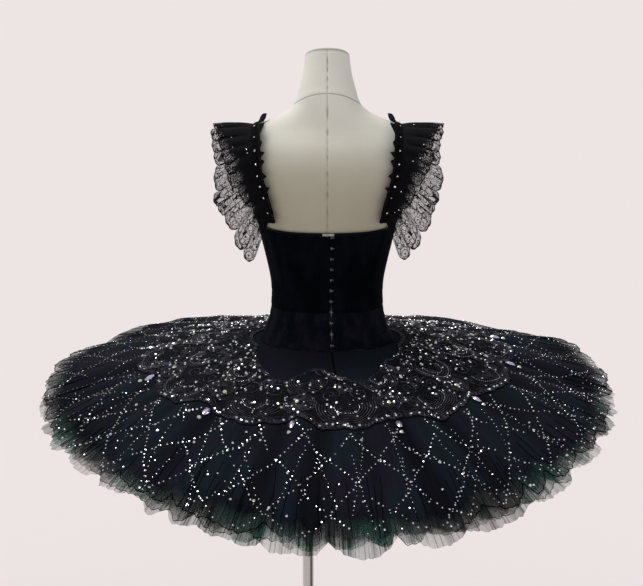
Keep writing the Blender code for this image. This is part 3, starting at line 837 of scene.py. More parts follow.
@dataclass(frozen=True)
class NetFinish(Finish):
    """Fine net: closed and cloudy where layers lie over one another, sheer at the rim, with painted shade
    darkening the troughs.
    """

    cool: Color
    warm: Color
    # Dark colour of streaks, hairlines and creases, which is also the shade painted into the troughs.
    fold_and_shade: Color
    sheer: Color
    tinged: Color
    mesh_size: float = 0.0021

    def lay(self, p: Paint) -> None:
        """Lays out the nodes."""
        where, flat = p.place(), p.flat()
        cover, crease = p.kept("cover"), p.kept("crease")
        cloud = p.span(p.noise(where, 8.0, 3.0, 0.55), 0.4, 0.62)
        streak = p.noise(p.drawn(flat, (70.0, 3.5, 1.0)), 1.0, 3.0)
        fine = p.noise(p.drawn(flat, (330.0, 9.0, 1.0)), 1.0, 2.0)
        mesh = p.span(p.cells(flat, 1.0 / self.mesh_size, "DISTANCE_TO_EDGE", 0.25), 0.05, 0.16, 1.0, 0.0)
        outward = p.axis(flat, "Y")
        streak = p.math("MULTIPLY", streak, p.span(outward, 0.04, 0.15, 0.4, 1.0))
        body = p.blend(p.span(outward, 0.05, 0.14, 0.45, 0.0),
                       p.blend(cloud, self.cool, self.warm), self.fold_and_shade)
        streaked = p.blend(p.span(streak, 0.35, 0.7, 0.0, 0.55), body, self.fold_and_shade)
        # Painted shade: the net is darkened along the skirt's troughs, by their depth.
        deep = p.blend(p.kept("fold_and_shade"), streaked, self.fold_and_shade)
        rim = p.span(cover, 0.36, 0.8, 1.0, 0.0)
        edge = p.blend(p.span(p.noise(where, 8.0, 1.0), 0.4, 0.55), self.sheer, self.tinged)
        lined = p.blend(p.span(fine, 0.5, 0.62, 0.0, 0.8), edge, self.fold_and_shade)
        thin = p.blend(rim, deep, lined)
        p.set(Base_Color=p.blend(crease, thin, self.fold_and_shade), Roughness=p.span(streak, 0.2, 0.8, 0.95, 0.75))
        p.set(Specular_IOR_Level=0.06, Sheen_Weight=0.008, Sheen_Roughness=0.5)
        woven = p.math("MULTIPLY", cover, p.math("ADD", 0.62, p.math("MULTIPLY", mesh, 0.75)))
        pulled = p.math("ADD", woven, p.math("ADD", p.span(streak, 0.5, 0.64, 0.0, 0.2),
                                             p.span(fine, 0.52, 0.64, 0.0, 0.3)))
        folded = p.math("ADD", pulled, p.math("MULTIPLY", crease, 0.85))
        solid = p.span(cover, 0.93, 0.99)
        p.set(Alpha=p.math("MAXIMUM", folded, solid, clamp=True))
        p.bump(p.math("ADD", mesh, p.math("MULTIPLY", streak, 2.0)), 0.0003, 0.5)


@dataclass(frozen=True)
class LaceFinish(Finish):
    """Lace: a fine net ground with flowers and scrolls outlined in it."""

    ground: Color
    outline: Color
    open_cover: float
    flower: float = 0.021
    mesh_size: float = 0.0017

    def lay(self, p: Paint) -> None:
        """Lays out the nodes."""
        flat = p.flat()
        bent = p.node("VectorMath", {"operation": "MULTIPLY_ADD"})
        p.feed(bent, 0, p.node("TexNoise", Vector=flat, Scale=55.0, Detail=1.0).outputs["Color"])
        p.feed(bent, 1, (0.008, 0.008, 0.0))
        p.feed(bent, 2, flat)
        drawn = bent.outputs["Vector"]
        bloom = p.cells(drawn, 1.0 / self.flower, "F1", 0.75)
        rings = p.math("ABSOLUTE", p.math("SINE", p.math("MULTIPLY", bloom, 11.0)))
        petals = p.span(rings, 0.86, 0.97)
        stems = p.span(p.cells(drawn, 1.0 / self.flower, "DISTANCE_TO_EDGE", 0.75), 0.02, 0.07, 1.0, 0.0)
        mesh = p.span(p.cells(flat, 1.0 / self.mesh_size, "DISTANCE_TO_EDGE", 0.5), 0.06, 0.2, 1.0, 0.0)
        work = p.math("MAXIMUM", petals, stems)
        grain = p.noise(flat, 900.0, 2.0)
        cover = p.kept("cover")
        p.set(Base_Color=p.blend(p.math("MULTIPLY", work, p.span(grain, 0.35, 0.65, 0.4, 1.0)),
                                 self.ground, self.outline), Roughness=p.span(grain, 0.2, 0.8, 0.9, 0.7))
        p.set(Specular_IOR_Level=0.1, Sheen_Weight=0.015, Sheen_Roughness=0.45)
        ground = p.math("MULTIPLY", p.math("ADD", 0.55, p.math("MULTIPLY", mesh, 0.75)), self.open_cover)
        filled = p.math("MAXIMUM", p.math("MULTIPLY", work, 0.92), ground)
        p.set(Alpha=p.math("ADD", filled, cover, clamp=True))
        p.bump(p.math("ADD", p.math("MULTIPLY", work, 2.0), grain), 0.0005, 0.8)


@dataclass(frozen=True)
class CordFinish(Finish):
    """Loose looped yarn, and thread."""

    dark: Color
    light: Color
    gloss: float = 0.2

    def lay(self, p: Paint) -> None:
        """Lays out the nodes."""
        where = p.place()
        fuzz = p.noise(where, 1100.0, 3.0, 0.7)
        tone = p.span(p.noise(where, 90.0, 2.0), 0.35, 0.65)
        p.set(Base_Color=p.blend(p.math("MULTIPLY", fuzz, tone), self.dark, self.light),
              Roughness=p.span(fuzz, 0.2, 0.8, 0.6, 0.9))
        p.set(Specular_IOR_Level=self.gloss, Sheen_Weight=0.3 * self.gloss, Sheen_Roughness=0.4)
        p.bump(fuzz, 0.0006, 0.9)


@dataclass(frozen=True)
class StoneFinish(Finish):
    """Foil-backed cut glass, clear or tinted."""

    clear: Color
    straw: Color
    lilac: Color

    def lay(self, p: Paint) -> None:
        """Lays out the nodes."""
        tint = p.kept("tint")
        warm = p.blend(p.span(tint, 0.3, 0.4), self.clear, self.straw)
        speck = p.noise(p.place(), 240.0, 1.0)
        p.set(Base_Color=p.blend(p.span(tint, 0.7, 0.8), warm, self.lilac),
              Roughness=p.span(speck, 0.3, 0.7, 0.05, 0.16))
        p.set(Metallic=0.85, Specular_IOR_Level=0.8, Coat_Weight=0.6, Coat_Roughness=0.03)


class Wardrobe:
    """Every finish, made once and shared."""

    def __init__(self) -> None:
        """Makes the materials."""
        # The form cover's second colour is the painted shade of its low back.
        self.form = JerseyFinish("form_cover_jersey", (0.88, 0.87, 0.78), (0.465, 0.435, 0.32)).make()
        self.cap = JerseyFinish("form_cap_jersey", (0.7, 0.69, 0.61), (0.6, 0.58, 0.5)).make()
        # The pole's dark stripe down one side is painted shade.
        self.pole = MetalFinish("pole_enamel",
                                (0.84, 0.8, 0.76), (0.76, 0.7, 0.64), 0.3, shade_stripe_x=0.03).make()
        self.plate = MetalFinish("base_steel",
                                 (0.62, 0.6, 0.57), (0.56, 0.54, 0.51), 0.34, (60, 60, 4)).make()
        self.wire = MetalFinish("hook_wire",
                                (0.4, 0.4, 0.42), (0.16, 0.16, 0.17), 0.26, (30, 30, 30)).make()
        self.bodice = VelvetFinish("bodice_velvet",
                                   (.001, .0016, .0032), (.0022, .0034, .0062), 0.004).make()
        self.basque = VelvetFinish("basque_velvet",
                                   (.0026, .0034, .0062), (.0084, .008, .0145), 0.006, 34.0).make()
        self.satin = RibbonFinish("binding_satin",
                                  (.0012, .0013, .002), (.004, .0042, .006), 0.5, 900.0).make()
        self.elastic = RibbonFinish("strap_elastic",
                                    (.0014, .0014, .0026), (.0045, .0045, .007), 0.85, 620.0).make()
        self.tape = RibbonFinish("tape_cotton", (0.42, 0.42, 0.41), (0.68, 0.68, 0.66), 0.8, 800.0).make()
        self.stretch = RibbonFinish("knicker_knit",
                                    (.003, .003, .004), (.007, .007, .009), 0.8, 500.0).make()
        self.net = NetFinish("top_net",
                             (.0058, .0118, .0172), (.0092, .0072, .0152), (.0016, .0018, .0044),
                             (.042, .041, .04), (.024, .062, .048)).make()
        self.tulle = NetFinish("green_tulle",
                               (.006, .024, .023), (.007, .011, .018), (.0022, .005, .0052),
                               (.076, .082, .07), (.03, .13, .095)).make()
        self.lace = LaceFinish("lace_plate_work",
                               (.0022, .0026, .0054), (.007, .0068, .0115), 0.38, 0.01).make()
        self.frill = LaceFinish("frill_lace",
                                (.0048, .0048, .0064), (.0028, .0028, .0042), 0.46, 0.0085).make()
        self.cord = CordFinish("lace_cord", (.012, .0115, .019), (.15, .14, .175)).make()
        self.thread = CordFinish("black_thread", (.0008, .0008, .0014), (.003, .003, .0045), 0.01).make()
        self.crystal = StoneFinish("cut_crystal",
                                   (.95, .95, .97), (.95, .93, .74), (.86, .76, .95)).make()
        self.bead = StoneFinish("silver_bead", (.55, .55, .6), (.55, .53, .48), (.5, .46, .58)).make()


# --------------------------------------------------------------------- the body
@dataclass(frozen=True)
class Body:
    """The form's shape, which the cloth on it follows."""

    waist: float = 1.02
    power: float = 2.25
    shoulder_middle: float = 0.24
    ease: float = 0.0018

    def column(self, number: int, height: Any) -> Array:
        """One measure of the cross-sections, read at these heights."""
        return smooth_curve([(row[0], row[number]) for row in FORM_SECTIONS], height)

    def point(self, turn: Any, height: Any, out: Any = 0.0) -> Array:
        """Points on the body, moved out by a distance.

        Args:
            turn: angles from the centre back towards +X.
            height: heights from the waist seam.
            out: distances off the body.
        Returns:
            Points, with 3 as the last size.
        """
        turn, height, out = np.broadcast_arrays(np.asarray(turn, float), height, out)
        depth = np.where(cos(turn) > 0, self.column(2, height), self.column(3, height))
        x = (self.column(1, height) + out) * signed_power(sin(turn), 2 / self.power)
        y = (depth + out) * signed_power(cos(turn), 2 / self.power)
        z = self.waist + height + self.column(5, height) * y
        return stack([x, y + self.column(4, height), z], -1)

    def level(self, x: Array, y: Array, height: Array) -> Array:
        """Below 1 inside the body, 1 on its surface, more outside it."""
        depth = np.where(y > 0, self.column(2, height), self.column(3, height))
        return np.abs(x / self.column(1, height)) ** self.power + np.abs(y / depth) ** self.power

    def normal(self, points: Array) -> Array:
        """The way out of the body's surface near points on it."""
        here = points - np.array((0.0, 0.0, self.waist))
        slope = []
        for step in np.eye(3) * 0.002:
            far, near = here + step, here - step
            slope.append(self.level(*np.moveaxis(far, -1, 0)) - self.level(*np.moveaxis(near, -1, 0)))
        return unit(stack(slope, -1))

    def over_shoulder(self, across: Array, turn: Array) -> Array:
        """Where rays from inside the shoulder leave the body."""
        near, far = np.zeros_like(turn), np.full_like(turn, 0.2)
        for _ in range(40):
            reach = (near + far) / 2
            inside = self.level(across, reach * cos(turn), self.shoulder_middle + reach * sin(turn)) < 1
            near, far = np.where(inside, reach, near), np.where(inside, far, reach)
        z = self.waist + self.shoulder_middle + near * sin(turn)
        return stack([across, near * cos(turn), z], -1)


BODY = Body()


@dataclass(frozen=True)
class DressForm:
    """The limbless form: torso with its seams, and the neck cap."""

    wardrobe: Wardrobe
    around: int = 240
    levels: int = 200
    seam_depth: float = 0.0009
    seam_width: float = 0.0016
    neck_seam: float = 0.3755
    neck_dip: float = 0.0085
    cap_gap: float = 0.0004

    def neck_line(self, turn: Array) -> Array:
        """Height of the seam round the foot of the neck, lower at the sides."""
        return self.neck_seam - self.neck_dip * sin(turn) ** 2

    def relief(self, turn: Array, height: Array) -> Array:
        """How far the cover stands off the plain form, with seams and puckers."""
        width = BODY.column(1, height)
        out = np.zeros_like(turn)
        for seam in (0.0, pi):
            off = wrapped(turn - seam) * width
            out -= self.seam_depth * bell(off, self.seam_width)
            pucker = sin(height * 620 + 2.2 * sin(height * 90)) * bell(off, 0.011)
            out += 0.00022 * pucker * soft_step(0.1, 0.2, height)
        out -= self.seam_depth * 0.6 * bell(height - self.neck_line(turn), 0.0011)
        near = bell(height - self.neck_line(turn) - 0.004, 0.006)
        out += 0.0002 * near * sin(turn * 46 + 2 * sin(turn * 5))
        return out

    def torso(self) -> None:
        """The torso's cover."""
        heights = np.unique(np.concatenate([
            linspace(FORM_SECTIONS[0][0], FORM_SECTIONS[-1][0], self.levels),
            self.neck_seam + linspace(-self.neck_dip - 0.002, 0.002, 34)]))
        # Columns crowd towards the two seams, so that the stitching stays fine.
        turns = once_round(self.around)
        turns = turns - 0.4 * sin(turns * 2)
        turn, height = np.meshgrid(turns, heights)
        off = np.minimum(np.abs(wrapped(turn)), np.abs(wrapped(turn - pi))) * BODY.column(1, height)
        waver = 0.0005 * sin(height * 260 + 2 * sin(height * 80))
        broken = 0.5 + 0.2 * sin(height * 330 + 3 * sin(height * 47))
        seam = broken * bell(off + waver, 0.0006) * soft_step(0.1, 0.16, height)
        seam = np.maximum(seam, 0.7 * bell(height - self.neck_line(turn), 0.0006))
        top = FORM_SECTIONS[-1][0]
        seam = np.maximum(seam, 0.5 * bell(height - top, 0.0012))
        piece = Cloth.stack("form_torso_cover", BODY.point(turn, height, self.relief(turn, height)),
                            self.wardrobe.form, paint={"seam": seam})
        Cloth.fit(piece, "form_cover", "form_torso")

    def cap(self) -> None:
        """The domed cap on the neck, cut at the neck's own tilt."""
        top = FORM_SECTIONS[-1]
        turns = once_round(self.around)
        edge = BODY.point(turns, top[0]) - np.array((0.0, top[4], 0.0))
        profile = ((0.0, 1.0), (0.001, 0.992), (0.0022, 0.965), (0.0034, 0.915), (0.0044, 0.85),
                   (0.0054, 0.75), (0.0062, 0.62), (0.0068, 0.46), (0.0072, 0.28), (0.0074, 0.1))
        rings = []
        for rise, scale in profile:
            flat = edge * np.array((scale, scale, 0.0)) + np.array((0.0, top[4], 0.0))
            level = BODY.waist + top[0] + (edge[:, 2] - BODY.waist - top[0]) * scale
            rings.append(flat + stack([0 * level, 0 * level, level + self.cap_gap + rise], 1))
        Cloth.fit(Cloth.stack("form_neck_cap_cover", np.array(rings), self.wardrobe.cap, pole=True),
                  "form_cover", "form_neck_cap")

    def build(self) -> None:
        """Both pieces."""
        self.torso()
        self.cap()


@dataclass(frozen=True)
class Stand:
    """Pole and base, which keep their own solids."""

    wardrobe: Wardrobe

    def build(self) -> None:
        """Dresses the solids."""
        for node, material in (("stand_pole", self.wardrobe.pole), ("stand_base", self.wardrobe.plate)):
            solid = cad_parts[node]
            solid.data.materials.clear()
            solid.data.materials.append(material)
            LOG.info("%s: dressed", node)


# ------------------------------------------------------------------- the bodice
@dataclass(frozen=True)
class Panel:
    """One bodice or basque panel: its solid, and first and last angle in degrees."""

    node: str
    first: float
    last: float


class Part(Enum):
    """The two storeys of the bodice."""

    BODICE = "bodice"
    BASQUE = "basque"


@dataclass(frozen=True)
class Bodice:
    """Boned velvet bodice and hip basque, hooked at the back."""

    wardrobe: Wardrobe
    seam_gap: float = 0.00022
    bodice_wall: float = 0.0019
    basque_wall: float = 0.0021
    basque_depth: float = 0.0655
    binding_height: float = 0.0046
    binding_wall: float = 0.003
    least_ribbon: float = 0.0101
    stitch: float = 0.0022
    panels: tuple[Panel, ...] = (
        Panel("bodice_back_left", OPENING, 47.0), Panel("bodice_side_back_left", 47.0, 90.0),
        Panel("bodice_side_front_left", 90.0, 132.0), Panel("bodice_front", 132.0, 228.0),
        Panel("bodice_side_front_right", 228.0, 270.0), Panel("bodice_side_back_right", 270.0, 313.0),
        Panel("bodice_back_right", 313.0, 357.0),
    )
    basques: tuple[Panel, ...] = (
        Panel("basque_back_left", OPENING, 90.0), Panel("basque_front", 90.0, 270.0),
        Panel("basque_back_right", 270.0, 357.0),
    )

    def top(self, turn: Array) -> Array:
        """Height of the bodice's top edge."""
        return smooth_curve(TOP_EDGE, np.abs(np.degrees(wrapped(turn))))

    def relief(self, turn: Array, height: Array) -> Array:
        """Pulled creases, the roll over the waist seam, and softness over the bones."""
        out = np.zeros_like(turn)
        for degrees, level, length, width, slope, depth in BODICE_CREASES:
            across = wrapped(turn - radians(degrees)) * 0.1
            up = height - level
            c, s = math.cos(radians(slope)), math.sin(radians(slope))
            run, off = (across * c + up * s) / (length / 1000), (-across * s + up * c) / (width / 1000)
            dent = exp(-run ** 2 - off ** 2)
            ridge = exp(-run ** 2 - (off - 1.7) ** 2)
            out += (0.55 * ridge - 0.8 * dent) * depth / 1000
        out += 0.0009 * bell(height - 0.007, 0.005) * (0.7 + 0.3 * sin(turn * 9 + 1))
        out -= 0.0006 * bell(height, 0.0022)
        out += 0.00035 * cos(turn * 26) * soft_step(0.02, 0.06, height)
        return out

    def slit(self, height: Array) -> Array:
        """Half width of the gap at the back closure, wider where it is pulled open."""
        pulled = bell(height - 0.002, 0.011) + 0.8 * bell(height + 0.04, 0.01)
        return 0.00003 + 0.0006 * pulled

    @staticmethod
    def crowded(count: int) -> Array:
        """Shares from 0 to 1 that crowd towards both ends, where the seams turn in."""
        share = linspace(0, 1, count)
        return share - 0.1 * sin(share * tau) / tau * 2.4

    def panel(self, panel: Panel, part: Part) -> None:
        """One panel with its turned-in edges.

        Args:
            panel: which one.
            part: bodice or basque.
        """
        upper = part is Part.BODICE
        wall = self.bodice_wall if upper else self.basque_wall
        first, last = radians(panel.first), radians(panel.last)
        columns = max(24, round((last - first) / radians(1.6)))
        rows = 72 if upper else 40
        share = self.crowded(columns)
        turn, up = np.meshgrid(first + (last - first) * share, self.crowded(rows))
        if upper:
            height = self.seam_gap + (self.top(turn) - self.seam_gap) * up
        else:
            height = -self.basque_depth + (self.basque_depth - self.seam_gap) * up
        radius = BODY.column(2, height)
        plain = np.full_like(height, self.seam_gap / 2)
        low_gap = self.slit(height) if abs(panel.first - OPENING) < 1 else plain
        high_gap = self.slit(height) if panel.last > 356 else plain
        turn = turn + low_gap / radius * (1 - share) - high_gap / radius * share
        edge = np.minimum(np.abs(turn - first), np.abs(last - turn)) * radius
        seam = 0.0008 * bell(edge, 0.0018)
        ridge = 0.0004 * bell(edge - 0.0048, 0.0018)
        hem = 0.0 if upper else 0.0007 * bell(height + self.basque_depth, 0.0016)
        out = self.relief(turn, height) - seam + ridge - hem
        if not upper:
            out = out + 0.001 * soft_step(-0.045, -0.0655, -np.abs(height)) * (1 + 0.5 * sin(turn * 17))
            pucker = sin(turn * 19 + 2.2 * sin(height * 150)) * sin(height * 190 + 2.5 * sin(turn * 8))
            out = out + 0.0005 * pucker * soft_step(0.004, 0.014, -height)
        under = BODY.point(turn, height, BODY.ease + np.minimum(out, 0.0) * 0.5)
        over = BODY.point(turn, height, BODY.ease + wall + np.maximum(out, -0.0011))
        width, length, area = Cloth.cut_of(BODY.point(turn, height, BODY.ease + wall))
        uv = stack([turn * 0.1, height], -1)
        material = self.wardrobe.bodice if upper else self.wardrobe.basque
        piece = Cloth.shell(panel.node + "_velvet", under, over, uv, material)
        Cloth.fit(piece, "bodice_velvet" if upper else "basque_velvet", panel.node)

    def binding(self) -> None:
        """Satin folded over the top edge."""
        gap = radians(0.35)
        turns = linspace(radians(OPENING) + gap, tau + radians(OPENING) - gap, 400)
        angle = np.radians(np.array((-78, -66, -50, -25, 0, 30, 60, 90, 120, 150, 180, 205, 230, 246, 258)))
        turn, bend = np.meshgrid(turns, angle)
        low = self.top(turn) + 0.0004
        height = low + self.binding_height / 2 + sin(bend) * self.binding_height / 2
        middle = BODY.ease + self.binding_wall / 2
        out = middle + cos(bend) * self.binding_wall / 2 * (1 + 0.1 * sin(turn * 160) * sin(turn * 23))
        grid = BODY.point(turn, height, out)
        along, folded, _ = Cloth.cut_of(grid)
        uv = stack([turn * 0.1, bend * 0.002], -1)
        piece = Cloth.sheet("top_edge_binding", grid, uv, self.wardrobe.satin, flip=True)
        Cloth.fit(piece, "binding_satin", "top_binding")

    def stitches(self, tree: NodeTree) -> None:
        """Rows of stitches beside the seams, the closure and the hem."""
        work = Threads(tree, self.wardrobe.thread, 0.00022, 4)
        wall = BODY.ease + self.bodice_wall + 0.0002
        rows: list[tuple[Array, Array]] = []
        runs = [(p.first, 0.012, 0.14, 0.0042) for p in self.panels[1:]]
        for degrees, low, high, aside in [*runs, (OPENING, -0.062, 0.142, 0.0135)]:
            for side in (-1, 1):
                line = arange(low, high, 0.0034)
                rows.append((radians(degrees) + side * aside / BODY.column(2, line), line))
        hem = arange(0, tau - 0.05, 0.032)
        rows.append((radians(OPENING) + 0.03 + hem, np.full_like(hem, -self.basque_depth + 0.006)))
        for turn, height in rows:
            points = BODY.point(turn, height, wall + self.relief(turn, height) + 0.0003)
            for point, half in zip(points, unit(np.gradient(points, axis=0)) * self.stitch / 2):
                work.add(stack([point - half, point + half]))
        Cloth.fit(work.draw("bodice_stitches"), "binding_satin")

    def build(self, tree: NodeTree, tape: Object) -> None:
        """Every panel, the binding and the stitches."""
        for panel in self.panels:
            self.panel(panel, Part.BODICE)
        for panel in self.basques:
            self.panel(panel, Part.BASQUE)
        self.binding()
        self.stitches(tree)


@dataclass(frozen=True)
class Closure:
    """Hooks down the centre back, and the tape end over the binding."""

    wardrobe: Wardrobe
    count: int = 11
    first: float = 0.142
    pitch: float = 0.0199
    stand: float = 0.005
    reach: float = 0.0027
    loop: float = 0.0011
    wire: float = 0.00027

    def frame_at(self, turn: float, height: float, out: float) -> tuple[Array, Array, Array, Array]:
        """A place on the cloth.

        Args:
            turn: angle from the centre back.
            height: height from the waist seam.
            out: distance off the form.
        Returns:
            The point, and the ways across, up and out.
        """
        here = BODY.point(turn, height, out)
        across = unit(BODY.point(turn + 0.01, height, out) - BODY.point(turn - 0.01, height, out))
        up = unit(BODY.point(turn, height + 0.002, out) - BODY.point(turn, height - 0.002, out))
        away = np.cross(up, across)
        return here, across, up, away if away[1] > 0 else -away

    def hooks(self, tree: NodeTree) -> None:
        """Bent wire hooks, each with two sewing loops."""
        work = Threads(tree, self.wardrobe.wire, self.wire, 6)
        for number in range(self.count):
            height = self.first - self.pitch * number
            here, across, up, away = self.frame_at(radians(OPENING), height, self.stand)
            path = []
            for angle in linspace(-150, 110, 12):
                a = radians(angle)
                path.append((self.reach * 0.62 + self.loop * math.cos(a), self.loop * (1 + math.sin(a)), 0.0))
            path += [(-0.2 * self.reach, self.loop * 0.55, 0.0),
                     (-self.reach * 0.85, self.loop * 0.4, 0.0003)]
            nose = [(-self.reach, self.loop * 0.18, 0.0007), (-self.reach, -self.loop * 0.18, 0.0007)]
            other = [(x, -y, z) for x, y, z in reversed(path)]
            points = [here + across * x + up * y + away * z for x, y, z in [*path, *nose, *other]]
            work.add(np.array(points))
        piece = work.draw("closure_hooks")
        Cloth.fit(piece, "hook_metal", *[f"hook_{n + 1:02d}" for n in range(self.count)])

    def tape_end(self) -> Object:
        """The cotton tape's folded end at the top of the closure.

        Returns:
            The object.
        """
        here, across, up, away = self.frame_at(radians(-0.4), 0.1474, BODY.ease + 0.004)
        wide, tall = np.meshgrid(linspace(-0.0105, 0.0105, 22), linspace(-0.0021, 0.0021, 8))
        sag = 0.00025 * sin(wide * 700) + 0.0002 * sin(tall * 1500)
        dip = np.where(wide < -0.001, -0.0003, 0.0)
        grids = []
        for level in (0.0, 0.0008):
            away_by = (level + sag + dip)[..., None] * away
            grids.append(here + wide[..., None] * across + tall[..., None] * up + away_by)
        piece = Cloth.shell("hook_tape", grids[0], grids[1], stack([wide, tall], -1), self.wardrobe.tape)
        return Cloth.fit(piece, "tape_white", "hook_tape_end")

    def build(self, tree: NodeTree) -> Object:
        """Both, and hands back the tape."""
        self.hooks(tree)
        return self.tape_end()


# -------------------------------------------------------------------- the skirt
@dataclass(frozen=True)
class Petals:
    """Irregular rounded petals cut along a rim."""

    count: int
    seed: int
    shallow: float
    deep: float
    cup: float

    def read(self, turn: Array) -> tuple[Array, Array, Array]:
        """The cut at these angles.

        Args:
            turn: angles from the centre back.
        Returns:
            How far the edge is cut in, how far it lifts, and distance from the
            nearest notch as a share of a petal.
        """
        chance = np.random.default_rng(self.seed)
        widths = chance.uniform(0.55, 1.45, self.count)
        edges = np.concatenate([[0.0], np.cumsum(widths)]) / widths.sum() * tau
        depth = chance.uniform(self.shallow, self.deep, self.count + 1)
        depth[-1] = depth[0]
        lift = chance.uniform(-1, 1, self.count) * self.cup
        at = np.mod(turn, tau)
        i = np.clip(np.searchsorted(edges, at, side="right") - 1, 0, self.count - 1)
        u = (at - edges[i]) / (edges[i + 1] - edges[i])
        notch = depth[i] + (depth[i + 1] - depth[i]) * u
        skew = u + 0.12 * sin(u * pi) * np.sign(lift[i])
        cut = -notch * np.abs(2 * skew - 1) ** 2.6
        raised = lift[i] * (1 - np.abs(2 * u - 1) ** 2)
        ragged = 0.0022 * sin(turn * 97 + self.seed) * sin(turn * 41) + 0.0012 * sin(turn * 233)
        bold = 1 - 0.62 * self.calm(turn)
        return (cut + ragged) * bold, raised * bold, np.minimum(u, 1 - u)

    @staticmethod
    def calm(turn: Array) -> Array:
        """How smooth and closed the rim lies: 0 over the back, 1 over the front."""
        return 1 - soft_step(-0.8, 0.05, cos(turn))


@dataclass(frozen=True)
class SkirtShape:
    """Where the skirt's layers lie."""

    rim_radius: float = 0.525
    rim_drop: float = 0.177
    rim_tilt: float = 0.06
    rim_saddle: float = 0.024
    curve: float = 1.5
    layer_step: float = 0.008
    root_height: float = -0.0668
    root_out: float = 0.0036

    def sway(self, turn: Array) -> tuple[Array, Array]:
        """The rim's own unevenness: further out, and higher."""
        near = bell(wrapped(turn - radians(45)), radians(20))
        long = bell(wrapped(turn + radians(9)), radians(13))
        wave = sin(turn * 3 + 0.6) + 0.6 * sin(turn * 7 + 2.0)
        return 0.002 * wave - 0.01 * near + 0.008 * long, 0.003 * wave + 0.008 * near - 0.007 * long

    def rim(self, turn: Array, extra: Array) -> Array:
        """Points of the rim."""
        further, higher = self.sway(turn)
        radius = self.rim_radius + extra + further
        drop = self.rim_drop + self.rim_tilt * cos(turn) + self.rim_saddle * cos(2 * turn) - higher
        return stack([radius * sin(turn), radius * cos(turn), BODY.waist - drop], -1)

    def folds(self, turn: Array, share: Array, layer: int) -> Array:
        """Troughs and gathers, up positive."""
        out = np.zeros_like(turn)
        for degrees, width, start, end, depth in TROUGHS:
            drift = 0.03 * math.sin(degrees * 1.7) * share + 0.012 * sin(share * 9 + degrees)
            half = radians(width * (1.0 + 0.6 * math.sin(degrees) ** 2))
            x = wrapped(turn - radians(degrees) - drift) / half
            fading = 1 - 0.55 * soft_step(end - 0.15, end + 0.1, share)
            run = soft_step(start - 0.12, start + 0.25, share) * fading
            ridge = 0.35 + 0.25 * math.sin(degrees * 2.3)
            out += depth / 1000 * run * (ridge * bell(x - 1.9, 1.3) - 0.85 * exp(-x * x))
        out += 0.0035 * sin(turn * 7 + 1.2 * sin(turn * 3) + 3 * share) * soft_step(0.35, 0.9, share)
        gathers = sin(turn * 132 + 2.4 * sin(turn * 7)) * (1 + 0.5 * sin(turn * 31))
        out += 0.00035 * gathers * bell(share - 0.06, 0.12)
        if layer:
            flutes = sin(turn * (26 + 3 * layer) + layer * 1.7 + 1.5 * sin(turn * 5))
            out += 0.0035 * flutes * soft_step(0.62, 1.0, share)
        return out

    def point(self, turn: Array, share: Array, layer: int = 0, lift: Any = 0.0) -> Array:
        """Points of a layer.

        Args:
            turn: angles from the centre back.
            share: 0 at the hips, 1 at the rim.
            layer: how many layers down.
            lift: height over the layer.
        Returns:
            Points.
        """
        turn, share, lift = np.broadcast_arrays(turn, share, lift)
        root = BODY.point(turn, self.root_height - layer * self.layer_step, self.root_out)
        rim = self.rim(turn, 0.0)
        flat = root[..., :2] + (rim - root)[..., :2] * share[..., None]
        fall = (rim[..., 2] - layer * self.layer_step - root[..., 2]) * share ** self.curve
        z = root[..., 2] + fall + self.folds(turn, share, layer) + lift
        return np.concatenate([flat, z[..., None]], -1)

    def length(self, turn: Array) -> Array:
        """Distance from the hips to the plain rim."""
        root = BODY.point(turn, self.root_height, self.root_out)
        return np.linalg.norm((self.rim(turn, 0.0) - root)[..., :2], axis=-1)

    def share_of(self, turn: Array, reach: Array) -> Array:
        """Share of the skirt that lies this far out from the hips."""
        return reach / self.length(turn)

    def on_top(self, turn: Array, reach: Array, lift: float) -> tuple[Array, Array]:
        """Places on the top net.

        Args:
            turn: angles from the centre back.
            reach: distances out from the hips.
            lift: height over the net.
        Returns:
            The points, and the ways out of the cloth there.
        """
        def at(t: Array, r: Array) -> Array:
            """A place by angle and reach."""
            return self.point(t, self.share_of(t, r), 0, lift)

        here = at(turn, reach)
        out = at(turn, reach + 0.001) - at(turn, reach - 0.001)
        across = at(turn + 0.002, reach) - at(turn - 0.002, reach)
        facing = unit(np.cross(across, out))
        return here, np.where(facing[..., 2:] < 0, -facing, facing)


SHAPE = SkirtShape()


@dataclass(frozen=True)
class Layer:
    """One layer of the skirt: its solid, cut past the rim, petals, cover at the rim, and cloth's cut."""

    node: str
    number: int
    extra: float
    petals: Petals
    rim_cover: float
    sheer_from: float
    strip: tuple[float, float]


TOP_NET = Layer("net_overlay", 0, 0.002, Petals(44, 3, 0.004, 0.026, 0.006), 0.5, 0.87, (3.3, 0.42))


